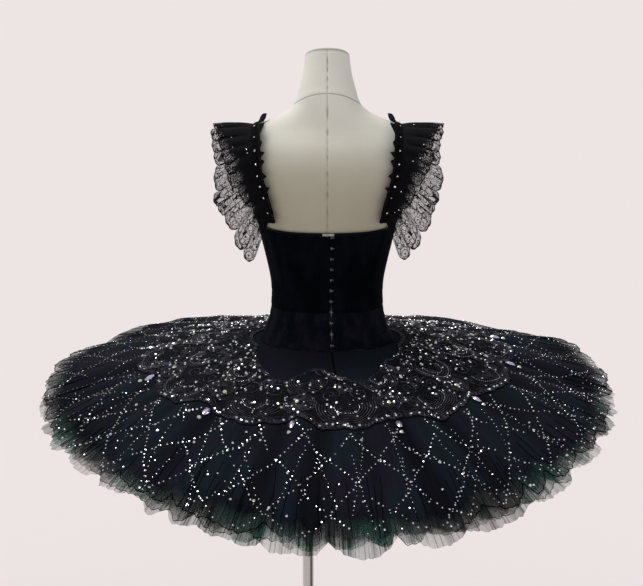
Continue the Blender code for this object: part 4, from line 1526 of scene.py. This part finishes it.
@dataclass(frozen=True)
class Skirt:
    """Stretched net over layers of tulle, each with its petalled rim."""

    wardrobe: Wardrobe
    flat_depth: float = 0.42
    columns: int = 1080
    rows: int = 46
    layers: tuple[Layer, ...] = (
        TOP_NET,
        Layer("tulle_upper", 1, 0.006, Petals(42, 11, 0.003, 0.026, 0.004), 0.46, 0.865, (3.3, 0.42)),
        Layer("tulle_second", 2, 0.012, Petals(34, 23, 0.006, 0.048, 0.004), 0.44, 0.86, (3.3, 0.42)),
        Layer("tulle_third", 3, -0.008, Petals(46, 37, 0.006, 0.03, 0.004), 0.4, 0.85, (3.25, 0.41)),
        Layer("tulle_lowest", 4, -0.026, Petals(56, 51, 0.006, 0.028, 0.004), 0.4, 0.84, (3.15, 0.39)),
    )

    def layer(self, layer: Layer) -> None:
        """One layer as a single sheet."""
        top = layer.number == 0
        columns = self.columns if top else self.columns // 2
        rows = self.rows if top else self.rows // 2
        turns = once_round(columns)
        shares = 1 - (1 - linspace(0, 1, rows)) ** 1.35
        turn, share = np.meshgrid(turns, shares)
        cut, raised, notch = layer.petals.read(turn)
        outer = soft_step(0.8, 1.0, share)
        further = (layer.extra + cut) / SHAPE.length(turn)
        grid = SHAPE.point(turn, share + further * soft_step(0.7, 1.0, share), layer.number, raised * outer)
        patch = 0.5 + 0.5 * sin(turn * 11 + 1.3 * sin(turn * 4) + layer.number)
        start = layer.sheer_from + 0.04 * patch
        fade = np.clip((share - start) / (0.975 - start), 0, 1)
        rim_cover = layer.rim_cover * (0.8 + 0.4 * patch) + 0.36 * layer.petals.calm(turn)
        cover = 1 - (1 - np.minimum(rim_cover, 0.92)) * fade * fade * (3 - 2 * fade)
        crease = bell(notch, 0.04) * soft_step(0.78, 0.9, share)
        # Depth of the troughs, which sets the shade painted into the net there.
        fold_and_shade = np.clip(-SHAPE.folds(turn, share, 0) / 0.0065, 0, 1)
        wide = linspace(0, tau, columns + 1) * SHAPE.rim_radius
        uv = flat_grid(wide, shares * self.flat_depth)
        material = self.wardrobe.net if top else self.wardrobe.tulle
        paint = {"cover": cover, "crease": crease * (0.8 if top else 0.5), "fold_and_shade": fold_and_shade}
        piece = Cloth.sheet(layer.node + "_cloth", grid, uv, material, closed=True, paint=paint)
        Cloth.fit(piece, "net_black" if top else "tulle_dark", layer.node)
        # What shows of a gathered strip is a fan: the whole strip at the rim, and the
        # hips' own measure at its root.
        root = BODY.point(turns, SHAPE.root_height, SHAPE.root_out)

    def rolled_edges(self, tree: NodeTree) -> None:
        """Dark rolled thread along the petals of the top net and the layer under it."""
        for layer, radius, keep in ((self.layers[0], 0.00085, 0.85), (self.layers[1], 0.00055, 0.35)):
            work = Threads(tree, self.wardrobe.thread, radius, 4)
            turns = once_round(1440)
            cut, raised, _ = layer.petals.read(turns)
            rim = SHAPE.point(turns, 1 + (layer.extra + cut) / SHAPE.length(turns), layer.number, raised)
            shown = sin(turns * 9 + 2 * sin(turns * 4 + layer.number)) * 0.5 + 0.5 < keep
            ends = np.flatnonzero(np.diff(shown.astype(int)))
            for start, stop in zip(ends[:-1], ends[1:]):
                if shown[start + 1] and stop - start > 3:
                    work.add(rim[start + 1:stop + 1])
            Cloth.fit(work.draw(layer.node + "_rolled_edge"), "net_black")

    def pressed_lines(self, tree: NodeTree) -> None:
        """Sharp pressed pleats that run out to the rim, and the placket below the closure."""
        work = Threads(tree, self.wardrobe.thread, 0.0005, 4)
        chance = np.random.default_rng(14)
        top = self.layers[0]
        for middle in np.sort(chance.uniform(0, tau, 150)):
            share = linspace(chance.uniform(0.72, 0.88), 1.0, 16)
            turn = middle + chance.normal(0, 0.006) * (share - 0.9) * 10 + 0.0015 * sin(share * 30 + middle)
            cut, raised, _ = top.petals.read(turn)
            ends = share + (top.extra + cut - 0.001) / SHAPE.length(turn) * soft_step(0.7, 1.0, share)
            work.add(SHAPE.point(turn, ends, 0, raised * soft_step(0.8, 1.0, share) + 0.0004))
        reach = linspace(0.002, 0.12, 30)
        for aside in (-0.0008, 0.0, 0.0008):
            turn = radians(OPENING) + (aside + 0.0012 * sin(reach * 45)) / (reach + HIPS)
            work.add(SHAPE.point(turn, SHAPE.share_of(turn, reach), 0, 0.0007))
        Cloth.fit(work.draw("net_overlay_pressed_lines"), "net_black")

    def knickers(self) -> None:
        """Stretch knickers on the form, which every layer is sewn to."""
        turns = once_round(120)
        heights = linspace(-0.2095, -0.0663, 34)
        turn, height = np.meshgrid(turns, heights)
        out = BODY.ease + 0.0006 + 0.0003 * sin(turn * 60) * bell(height + 0.2095, 0.008)
        grid = BODY.point(turn, height, out)
        wide = linspace(0, tau, 121) * 0.13
        uv = flat_grid(wide, heights)
        piece = Cloth.sheet("knickers_cloth", grid, uv, self.wardrobe.stretch, closed=True, flip=True)
        Cloth.fit(piece, "knicker_stretch", "knickers")
        closed = np.concatenate([grid, grid[:, :1]], 1)
        width, length, area = Cloth.cut_of(closed)

    def build(self, tree: NodeTree) -> None:
        """Knickers, layers and edges."""
        self.knickers()
        for layer in self.layers:
            self.layer(layer)
        self.rolled_edges(tree)
        self.pressed_lines(tree)


@dataclass(frozen=True)
class LacePlate:
    """Raised lace laid over the top of the net, with its cords, beads and stones."""

    wardrobe: Wardrobe
    reach: float = 0.216
    lobe: float = 0.013
    lobes: int = 12
    lobe_turn: float = -6.0
    lift: float = 0.0019
    cord_radius: float = 0.00062
    yarn_radius: float = 0.00052
    studded: float = 0.3
    bead_pitch: float = 0.0032
    bead_radius: float = 0.00085
    columns: int = 720
    rows: int = 20

    def inner(self, turn: Array) -> Array:
        """Inner edge, as a distance from the hips."""
        wave = 0.0035 * np.abs(sin(turn * 26))
        return smooth_curve(LACE_INNER, np.degrees(wrapped(turn))) + wave

    def outer(self, turn: Array) -> Array:
        """Outer edge, in big lobes with small scallops on them."""
        big = np.abs(cos(self.lobes / 2 * (turn - radians(self.lobe_turn))))
        small = 0.0032 * np.abs(sin(turn * 39 + 0.4 * sin(turn * 5)))
        return self.reach + self.lobe * (big - 0.5) * 2 + small + 0.003 * sin(turn * 2 + 1)

    def at(self, turn: float, reach: float, across: Array, out: Array, lift: float
           ) -> tuple[Array, Array]:
        """Places drawn round a point of the plate, in metres across and outwards.

        Args:
            turn: the point's angle in degrees.
            reach: its distance from the hips.
            across: distances round the skirt.
            out: distances outwards.
            lift: height over the net.
        Returns:
            The points and the ways out of the cloth.
        """
        radius = HIPS + reach + out
        return SHAPE.on_top(radians(turn) + across / radius, reach + out, lift)

    def ground(self) -> None:
        """The lace's net ground with its outlined flowers."""
        turns = once_round(self.columns)
        turn, part = np.meshgrid(turns, linspace(0, 1, self.rows))
        low, high = self.inner(turn), self.outer(turn)
        reach = low + (high - low) * part
        share = SHAPE.share_of(turn, reach)
        grid = SHAPE.point(turn, share, 0, self.lift)
        edge = np.minimum(reach - low, high - reach)
        cover = 0.15 + 0.85 * bell(edge, 0.006)
        wide = linspace(0, tau, self.columns + 1)
        around = np.concatenate([reach, reach[:, :1]], 1)
        uv = stack(np.broadcast_arrays(wide[None, :] * 0.27, around), -1)
        piece = Cloth.sheet("lace_plate_ground", grid, uv, self.wardrobe.lace, closed=True,
                            paint={"cover": cover})
        Cloth.fit(piece, "lace_black", "lace_plate")
        rings = [SHAPE.point(turns, SHAPE.share_of(turns, edge(turns)))[:, :2]
                 for edge in (self.outer, self.inner)]
        wide, deep = (float(x) for x in np.ptp(rings[0], axis=0))

    def motifs(self) -> list[tuple[Array, Array, str]]:
        """Every drawn line of the plate.

        Returns:
            Points, ways out of the cloth, and the kind of line.
        """
        lines: list[tuple[Array, Array, str]] = []
        lift = self.lift + 0.0009

        def add(kind: str, turn: float, reach: float, across: Array, out: Array) -> None:
            """Keeps a line if it lies on the plate."""
            radius = HIPS + reach + out
            angle = radians(turn) + across / radius
            inside = (reach + out > self.inner(angle) + 0.001) & (reach + out < self.outer(angle) - 0.001)
            points, facing = self.at(turn, reach, across, out, lift)
            runs = np.flatnonzero(np.diff(np.concatenate([[False], inside, [False]]).astype(int)))
            for start, stop in zip(runs[::2], runs[1::2]):
                if stop - start > 3:
                    lines.append((points[start:stop], facing[start:stop], kind))

        around = linspace(0, tau, 41)
        bow = np.radians(linspace(-108, 108, 34))
        chance = np.random.default_rng(8)
        for number in range(self.lobes):
            shell = self.lobe_turn + 360.0 / self.lobes * number
            rose = shell - 180.0 / self.lobes
            centre = 0.17 + chance.uniform(-0.006, 0.006)
            for a in (0.0075, 0.0105, 0.0135, 0.0165, 0.02, 0.024, 0.0275):
                b = a * 0.8
                wave = 1 + (0.06 if a > 0.019 else 0.025) * cos(around * (13 if a > 0.019 else 7))
                add("rose", rose, centre, a * wave * cos(around), b * wave * sin(around))
            for k in range(9):
                a, c = 0.05 - 0.0048 * k, 0.039 - 0.0039 * k
                add("shell" if k else "border", shell, 0.187, a * sin(bow), c * cos(bow) - 0.003)
            for k in range(7):
                a, c = 0.036 - 0.0044 * k, 0.034 - 0.0042 * k
                add("shell", rose, 0.118, a * sin(bow), c * cos(bow) - 0.003)
                add("shell", shell, 0.086, 0.8 * a * sin(bow), 0.8 * c * cos(bow) - 0.003)
            for side in (-1, 1):
                spin = linspace(0.5, 3.6 * pi, 52)
                curl = 0.0016 * spin
                add("scroll", shell + side * 5.2, 0.15, side * curl * cos(spin), curl * sin(spin))
                leaf = 0.02 * sin(around / 2)
                add("leaf", rose + side * 4.0, 0.128, side * leaf * 0.6, 0.022 * (around / pi - 1))
                add("scroll", shell + side * 8.0, 0.085, side * curl * cos(spin), curl * sin(spin))
                add("leaf", shell + side * 3.0, 0.066, side * leaf * 0.7, 0.02 * (around / pi - 1))
                add("scroll", rose + side * 5.0, 0.048, side * curl * 0.8 * cos(spin), curl * 0.8 * sin(spin))
            for a in (0.005, 0.009, 0.013):
                petalled = a * (1 + 0.18 * cos(around * 5))
                add("rose", shell, 0.134, petalled * cos(around), petalled * sin(around))
                add("rose", rose, 0.074, petalled * cos(around), petalled * sin(around))
        return lines

    def borders(self) -> list[tuple[Array, Array]]:
        """Looped yarn along both edges of the plate."""
        turn = once_round(3600)
        made = []
        for edge, inset, width, waves, phase in (
            (self.outer, -0.006, 0.0036, 330, 0.0), (self.outer, -0.004, 0.0034, 287, 1.9),
            (self.outer, -0.0015, 0.0008, 90, 0.5), (self.inner, 0.0035, 0.0026, 190, 0.7),
            (self.outer, -0.013, 0.0012, 70, 0.2),
        ):
            loose = 1 + 0.35 * sin(turn * 47)
            bend = 0.006 * cos(turn * waves + phase) / (edge(turn) + HIPS) * 0.35
            reach = edge(turn) + inset + width * loose * sin(turn * waves + phase)
            made.append(SHAPE.on_top(turn + bend, reach, self.lift + 0.001))
        return made

    def build(self, thread: NodeTree, setting: NodeTree) -> None:
        """Ground, cords, beads and stones."""
        self.ground()
        lines = self.motifs()
        cords = Threads(thread, self.wardrobe.cord, self.cord_radius, 4)
        for points, _, _ in lines:
            cords.add(points)
        Cloth.fit(cords.draw("lace_plate_cords"), "lace_black")
        yarn = Threads(thread, self.wardrobe.cord, self.yarn_radius, 3)
        for points, _ in self.borders():
            yarn.add(points, True)
        Cloth.fit(yarn.draw("lace_plate_border"), "lace_black")

        chance = np.random.default_rng(21)
        stones = Stones(setting, self.wardrobe.crystal)
        beads = Stones(setting, self.wardrobe.bead)
        for number, (points, facing, kind) in enumerate(lines):
            length = run_of(points)
            gap = {"rose": 0.024, "shell": 0.034, "border": 0.014, "scroll": 0.018, "leaf": 0.016}[kind]
            count = max(1, round(length / gap))
            pick = np.clip((arange(count) + chance.uniform(0.1, 0.9, count)) / count * len(points),
                           0, len(points) - 1).astype(int)
            keep = pick[chance.random(len(pick)) < self.studded]
            if len(keep):
                tint = np.where(chance.random(len(keep)) < 0.07, 0.5, 0.0)
                size = chance.choice([0.0011, 0.0014, 0.0018, 0.0024], len(keep))
                stones.add(points[keep] + facing[keep] * 0.0008, facing[keep], size, tint=tint, seed=number)
            if kind == "shell" and number % 6 == 1:
                count = max(2, round(length / self.bead_pitch))
                pick = (linspace(0, len(points) - 1, count)).astype(int)
                beads.add(points[pick] + facing[pick] * 0.001, facing[pick], self.bead_radius, seed=number)
        turn, part = chance.uniform(0, tau, 430), chance.uniform(0.06, 0.94, 430)
        reach = self.inner(turn) + (self.outer(turn) - self.inner(turn)) * part
        spread, out = SHAPE.on_top(turn, reach, self.lift + 0.0016)
        stones.add(spread, out, chance.choice([0.0014, 0.0018, 0.0022, 0.0027], len(turn)),
                   tint=np.where(chance.random(len(turn)) < 0.08, 0.5, 0.0), seed=78)
        turn = np.sort(chance.uniform(0, tau, 150))
        rim, out = SHAPE.on_top(turn, self.outer(turn) - 0.005, self.lift + 0.002)
        stones.add(rim, out, chance.uniform(0.0015, 0.0026, len(turn)), seed=77)
        Cloth.fit(stones.set_all("lace_plate_stones"), "crystal")
        Cloth.fit(beads.set_all("lace_plate_beads", 6, 0.45, 0.9), "bead")
        self.drops(setting)

    def drops(self, setting: NodeTree) -> None:
        """Oval stones in the roses, and a teardrop and a round stone outside each."""
        stones = Stones(setting, self.wardrobe.crystal)
        turns = self.lobe_turn - 15.0 + 30.0 * arange(self.lobes) + 1.5 * sin(arange(self.lobes) * 2.3)
        angle = np.radians(turns)
        way_out = stack([sin(angle), cos(angle), -0.45 + 0 * angle], 1)
        heart, out = SHAPE.on_top(angle, np.full_like(angle, 0.171), self.lift + 0.0016)
        stones.add(heart, out, 0.0036, along=unit(way_out), stretch=1.3, tint=0.5, tilt=0.05, seed=2)
        reach = self.outer(angle) + 0.012
        drop, out = SHAPE.on_top(angle, reach, 0.0022)
        stones.add(drop, out, 0.0052, along=unit(way_out), stretch=1.9, tint=0.9, tilt=0.05, seed=3)
        ball, out = SHAPE.on_top(angle + 0.006, reach + 0.017, 0.002)
        stones.add(ball, out, 0.004, tint=0.5, tilt=0.05, seed=4)
        Cloth.fit(stones.set_all("lace_plate_drops", 12, 0.5, 0.45), "crystal")


@dataclass(frozen=True)
class Lattice:
    """Stones in crossing strings over the net, and along its petals."""

    wardrobe: Wardrobe
    strings: int = 30
    diamond: float = 0.098
    gap: float = 0.01
    start: float = 0.15
    hips: float = 0.11
    wobble: float = 0.0009
    missing: float = 0.06
    margin: float = 0.004
    tinted: float = 0.05

    def crossing(self, stones: Stones, plate: LacePlate) -> None:
        """Two families of strings that cross in diamonds.

        Args:
            stones: where they are gathered.
            plate: the lace, which they stop at.
        """
        chance = np.random.default_rng(5)
        for family in (-1, 1):
            for string in range(self.strings):
                pitch = tau / self.strings
                for double in (0, 1):
                    if double and chance.random() > 0.3:
                        continue
                    span = (self.start, 0.425) if not double else np.sort(chance.uniform(0.2, 0.42, 2))
                    reach = arange(span[0], span[1], self.gap * 0.66)
                    bend = 0.05 * sin(reach * 45 + string) + 0.1 * sin(reach * tau / self.diamond)
                    slant = (reach + bend * 0.02) / self.diamond + 0.1 * bend
                    turn = string * pitch + family * pitch * slant
                    turn = turn + double * 0.0045 / (reach + self.hips)
                    seed = 100 + string + 40 * family + 200 * double
                    self.place(stones, turn, reach, plate, chance, 0.0015, seed)

    def place(self, stones: Stones, turn: Array, reach: Array, plate: LacePlate,
              chance: np.random.Generator, radius: float, seed: int) -> None:
        """Sets a string, loosely, where it lies outside the lace and on the net.

        Args:
            stones: where they are gathered.
            turn: angles from the centre back.
            reach: distances from the hips.
            plate: the lace.
            chance: shared chance.
            radius: usual half width.
            seed: fixes this string.
        """
        turn = turn + chance.normal(0, self.wobble, len(turn)) / (reach + self.hips)
        reach = reach + chance.normal(0, self.wobble, len(reach))
        cut, raised, _ = TOP_NET.petals.read(turn)
        limit = SHAPE.length(turn) + TOP_NET.extra + cut
        free = (reach > plate.outer(turn) + self.margin) & (reach < limit - self.margin)
        free &= chance.random(len(turn)) > self.missing
        if not free.any():
            return
        turn, reach, raised, limit = turn[free], reach[free], raised[free], limit[free]
        points, facing = SHAPE.on_top(turn, reach, 0.0009)
        points[:, 2] += raised * soft_step(0.8, 1.0, reach / limit)
        size = radius * chance.choice([0.75, 1.0, 1.0, 1.25], len(turn)) * (
            0.62 + 0.38 * soft_step(-0.1, 0.7, cos(turn)))
        tint = np.where(chance.random(len(turn)) < self.tinted, 0.5, 0.0)
        stones.add(points, facing, size, tint=tint, seed=seed)

    def build(self, setting: NodeTree, plate: LacePlate) -> None:
        """Every string, single stones between them, and the stones along the petals."""
        stones = Stones(setting, self.wardrobe.crystal)
        self.crossing(stones, plate)
        chance = np.random.default_rng(9)
        for string in range(64):
            reach = arange(chance.uniform(0.2, 0.3), chance.uniform(0.36, 0.43), 0.0085)
            slant = chance.normal(0, 0.55)
            turn = string * tau / 64 + chance.normal(0, 0.05) + slant * (reach - 0.3) + 0.01 * sin(reach * 20)
            self.place(stones, turn, reach, plate, chance, 0.001, 500 + string)
        turn, reach = chance.uniform(0, tau, 90), np.sqrt(chance.uniform(0.24 ** 2, 0.4 ** 2, 90))
        self.place(stones, turn, reach, plate, chance, 0.0024, 700)
        turn = arange(0, tau, 0.014 / 0.52)
        cut, _, _ = TOP_NET.petals.read(turn)
        keep = chance.random(len(turn)) < 0.36
        edge = SHAPE.length(turn) + TOP_NET.extra + cut - 0.0065
        self.place(stones, turn[keep], edge[keep], plate, chance, 0.0017, 701)
        turn, reach = chance.uniform(0, tau, 80), chance.uniform(0.34, 0.4, 80)
        self.place(stones, turn, reach, plate, chance, 0.0015, 702)
        Cloth.fit(stones.set_all("skirt_lattice_stones", 7), "crystal")


# ------------------------------------------------------------ straps and frills
class Side(Enum):
    """The wearer's sides."""

    LEFT = 1.0
    RIGHT = -1.0


@dataclass(frozen=True)
class Shoulder:
    """One strap with its pointed heading and wide lace frill."""

    wardrobe: Wardrobe
    side: Side
    steps: int = 420
    strap_width: float = 0.018
    strap_wall: float = 0.0018
    heading_width: float = 0.0205
    heading_teeth: int = 19
    heading_cut: float = 0.5
    frill_cut: tuple[float, float] = (0.068, 0.66)
    flutes: float = 18.0
    flute_depth: float = 0.0062
    lift: float = 0.0046

    def path(self) -> tuple[Array, Array, Array, Array]:
        """The strap's middle line from back to front.

        Returns:
            Points, and the ways out, sideways and along.
        """
        degrees = linspace(STRAP_PATH[0][0], STRAP_PATH[-1][0], self.steps)
        points = BODY.over_shoulder(smooth_curve(STRAP_PATH, degrees), np.radians(degrees))
        along = unit(np.gradient(points, axis=0))
        normal = BODY.normal(points)
        out = unit(normal - along * (normal * along).sum(-1, keepdims=True))
        kernel = np.ones(25) / 25
        padded = np.pad(out, ((12, 12), (0, 0)), mode="edge")
        out = unit(stack([np.convolve(padded[:, i], kernel, "valid") for i in range(3)], -1))
        sideways = np.cross(along, out)
        sideways = np.where(sideways[:, :1] < 0, -sideways, sideways)
        mirror = np.array((self.side.value, 1.0, 1.0))
        return points * mirror, out * mirror, sideways * mirror, along * mirror

    def name(self, what: str) -> str:
        """A piece's name with its side."""
        return f"{what}_{self.side.name.lower()}"

    def strap(self) -> None:
        """The gathered elastic strap."""
        points, out, sideways, _ = self.path()
        place = linspace(0, 1, self.steps)
        across = linspace(-1, 1, 9)
        ruche = 0.0011 * np.abs(sin(place * 150 + 2 * sin(place * 37)))
        length = run_of(points)
        grids = []
        for level in (0.0, 1.0):
            crown = BODY.ease + level * (self.strap_wall + ruche[None, :] * (1 - across[:, None] ** 2))
            grids.append(points[None] + out[None] * crown[..., None]
                         + sideways[None] * (across * self.strap_width / 2)[:, None, None])
        uv = flat_grid(place * length, across * 0.009)
        piece = Cloth.shell(self.name("shoulder_strap"), grids[0], grids[1], uv, self.wardrobe.elastic)
        Cloth.fit(piece, "strap_elastic", self.name("strap"))

    def heading(self) -> None:
        """The narrow heading in pointed leaves towards the neck."""
        points, out, sideways, along = self.path()
        place = linspace(0, 1, self.steps)
        phase = place * self.heading_teeth + 0.25 * sin(place * 37)
        saw = np.abs(2 * np.mod(phase, 1.0) - 1)
        tooth = (1 - saw) ** 0.85
        share = linspace(0, 1, 9)
        ends = soft_step(0.0, 0.05, place) * soft_step(0.0, 0.05, 1 - place)
        uneven = 0.24 + 0.86 * tooth * (0.8 + 0.2 * sin(place * 61))
        width = self.heading_width * uneven * (0.55 + 0.45 * ends)
        curl = 0.003 * sin(np.floor(phase) * 2.4)
        grid = (points + out * self.lift - sideways * (self.strap_width / 2 - 0.0025))[None].repeat(9, 0)
        grid = grid - sideways[None] * (share[:, None] * width[None])[..., None]
        crown = 0.007 * bell(place - 0.4, 0.06)
        rise = share[:, None] ** 1.3 * (0.0045 + (curl + 0.0045)[None] * tooth[None] + crown[None])
        grid = grid + out[None] * rise[..., None]
        grid = grid + along[None] * (share[:, None] ** 1.5 * 0.003 * tooth[None])[..., None]
        uv = flat_grid(place * 0.75, share * self.heading_width)
        cover = np.broadcast_to(1.0 - 0.2 * share[:, None] ** 2, grid.shape[:2])
        piece = Cloth.sheet(self.name("strap_heading"), grid, uv, self.wardrobe.frill, paint={"cover": cover},
                            flip=self.side is Side.LEFT)
        Cloth.fit(piece, "lace_black", self.name("frill_heading"))
        # The leaves are cut out of the strip, so its area is its length by their mean depth.
        self.name("shoulder_strap")

    def frill(self, stones: Stones) -> None:
        """The wide lace frill in deep flutes.

        Args:
            stones: where its few stones are gathered.
        """
        points, out, sideways, along = self.path()
        place = linspace(0, 1, self.steps)
        shape = np.asarray(FRILL_SHAPE)
        width = smooth_curve(shape[:, :2], place)
        fall = np.radians(smooth_curve(shape[:, (0, 2)], place))
        lean = np.where(place < 0.5, 0.12, -0.6) * soft_step(0.0, 0.06, np.abs(place - 0.5))
        spread = stack([self.side.value * cos(fall), lean * sin(fall), -sin(fall)], -1)
        share = linspace(0, 1, 30)
        lobe = place * self.flutes + 0.35 * sin(place * 11) + 0.22 * sin(place * 31)
        phase = lobe * tau
        rounded = np.abs(sin(lobe * pi)) ** 0.62
        scallop = 0.0016 * np.abs(sin(lobe * pi * 5.0))
        uneven = 1 + 0.05 * sin(place * 29 + self.side.value)
        reach = share[:, None] * (width * uneven * 0.86)[None]
        reach = reach + share[:, None] ** 2.2 * (0.013 * rounded)[None] + share[:, None] ** 8 * scallop[None]
        swell = share[:, None] ** 0.9
        depth = self.flute_depth * (0.85 + 0.3 * sin(place * 23 + 1))
        rise = swell * depth[None] * (1 - cos(phase)[None])
        slide = -swell * 0.0075 * sin(phase)[None] * share[:, None] ** 0.5
        root = points + out * self.lift + sideways * (self.strap_width / 2 - 0.0025)
        grid = root[None] + spread[None] * reach[..., None]
        grid = grid + out[None] * rise[..., None] + along[None] * slide[..., None]
        grid[..., 2] -= 0.008 * share[:, None] ** 2.4
        uv = flat_grid(place * 0.82, share * self.frill_cut[0])
        shown = 0.1 + 0.42 * bell(place - 0.5, 0.14) + 0.1 * sin(lobe * pi) ** 2
        dense = 1 - 0.96 * soft_step(0.0, 0.34, share[:, None] - shown[None])
        dense = dense + 0.8 * bell(1 - share, 0.022)[:, None]
        gather = bell(sin(lobe * pi), 0.2) + 0.6 * bell(cos(lobe * pi * 3), 0.35)
        valley = 0.75 * gather[None] * (1.05 - share[:, None] ** 1.5)
        cover = np.clip(dense + valley, 0, 1)
        piece = Cloth.sheet(self.name("shoulder_frill"), grid, uv, self.wardrobe.frill,
                            paint={"cover": cover}, flip=self.side is Side.RIGHT)
        Cloth.fit(piece, "lace_black", self.name("frill_wide"))
        self.name("shoulder_strap")

        chance = np.random.default_rng(31 if self.side is Side.LEFT else 32)
        picks = linspace(14, self.steps - 14, 15).astype(int)
        size = chance.choice([0.0014, 0.0019, 0.0025], len(picks))
        tint = chance.choice([0.0, 0.0, 0.5], len(picks))
        stones.add(points[picks] + out[picks] * 0.0068, out[picks], size, tint=tint, seed=40)
        rows, columns = chance.integers(5, 26, 20), chance.integers(5, self.steps - 5, 20)
        size = chance.uniform(0.0009, 0.0015, 20)
        stones.add(grid[rows, columns] + out[columns] * 0.0006, out[columns], size, seed=41)

    def build(self, stones: Stones) -> None:
        """Strap, heading and frill."""
        self.strap()
        self.heading()
        self.frill(stones)


# ------------------------------------------------------------------- the studio
@dataclass(frozen=True)
class Studio:
    """Pale floor, soft even light and the camera."""

    backdrop: Color = linear(233, 224, 223)
    tilt: float = 12.4
    distance: float = 3.1
    focus_x: float = 0.0105
    focus_up: float = 0.02
    focal: float = 93.7231726283
    floor_size: float = 60.0

    def floor(self) -> None:
        """The floor, which fills the view."""
        p = Paint("studio_floor")
        grain = p.noise(p.place(), 3.0, 2.0)
        p.set(Base_Color=p.blend(p.math("MULTIPLY", grain, 0.04), self.backdrop, (0.8, 0.74, 0.73)),
              Roughness=p.span(grain, 0.2, 0.8, 0.9, 1.0))
        p.set(Specular_IOR_Level=0.0)
        turns = once_round(96)
        points = stack([cos(turns), sin(turns), 0 * turns], 1) * self.floor_size
        mesh = bpy.data.meshes.new("studio_floor")
        mesh.from_pydata(points.tolist(), [], [list(range(len(turns)))])
        Cloth.link("studio_floor", mesh, p.material)

    def lights(self) -> None:
        """An even sky and two wide soft lights."""
        world = bpy.data.worlds.new("studio")
        world.use_nodes = True
        sky = world.node_tree.nodes["Background"]
        sky.inputs["Color"].default_value = (0.97, 0.975, 1.0, 1.0)
        sky.inputs["Strength"].default_value = 0.42
        bpy.context.scene.world = world
        for name, strength, aim in (("key", 1.65, (-0.3, 0.3, -1.0)), ("fill", 0.55, (-0.55, -0.25, -1.0))):
            lamp = bpy.data.lights.new(name, "SUN")
            lamp.energy, lamp.angle = strength, radians(26)
            obj = bpy.data.objects.new(name, lamp)
            obj.rotation_euler = Vector(aim).to_track_quat("-Z", "Y").to_euler()
            bpy.context.scene.collection.objects.link(obj)

    def camera(self) -> None:
        """The camera, behind the figure and a little above the waist."""
        lens = bpy.data.cameras.new("camera")
        lens.sensor_width, lens.sensor_fit, lens.lens = 36.0, "HORIZONTAL", self.focal
        lens.clip_start, lens.clip_end = 0.05, 200.0
        obj = bpy.data.objects.new("camera", lens)
        tilt = radians(self.tilt)
        obj.location = (self.focus_x, self.distance * math.cos(tilt),
                        BODY.waist + self.focus_up + self.distance * math.sin(tilt))
        obj.rotation_euler = (pi / 2 - tilt, 0.0, pi)
        bpy.context.scene.collection.objects.link(obj)
        bpy.context.scene.camera = obj

    def build(self) -> None:
        """Floor, lights, camera and plain colour."""
        self.floor()
        self.lights()
        self.camera()
        bpy.context.scene.view_settings.view_transform = "Standard"
        bpy.context.scene.cycles.transparent_max_bounces = 24


def corners(box: Iterable[Iterable[float]]) -> list[list[float]]:
    """A box as plain lists."""
    return [[float(x) for x in corner] for corner in box]


def main() -> None:
    """Builds every sub-assembly in order."""
    logging.basicConfig(level=logging.INFO, format="%(name)s: %(message)s")
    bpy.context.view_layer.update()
    wardrobe = Wardrobe()
    thread, setting = Maker.thread(), Maker.settings()
    DressForm(wardrobe).build()
    Stand(wardrobe).build()
    tape = Closure(wardrobe).build(thread)
    Bodice(wardrobe).build(thread, tape)
    Skirt(wardrobe).build(thread)
    plate = LacePlate(wardrobe)
    plate.build(thread, setting)
    Lattice(wardrobe).build(setting, plate)
    strap_stones = Stones(setting, wardrobe.crystal)
    for side in Side:
        Shoulder(wardrobe, side).build(strap_stones)
    Cloth.fit(strap_stones.set_all("shoulder_stones"), "crystal")
    Studio().build()


if __name__ == "__main__":
    main()
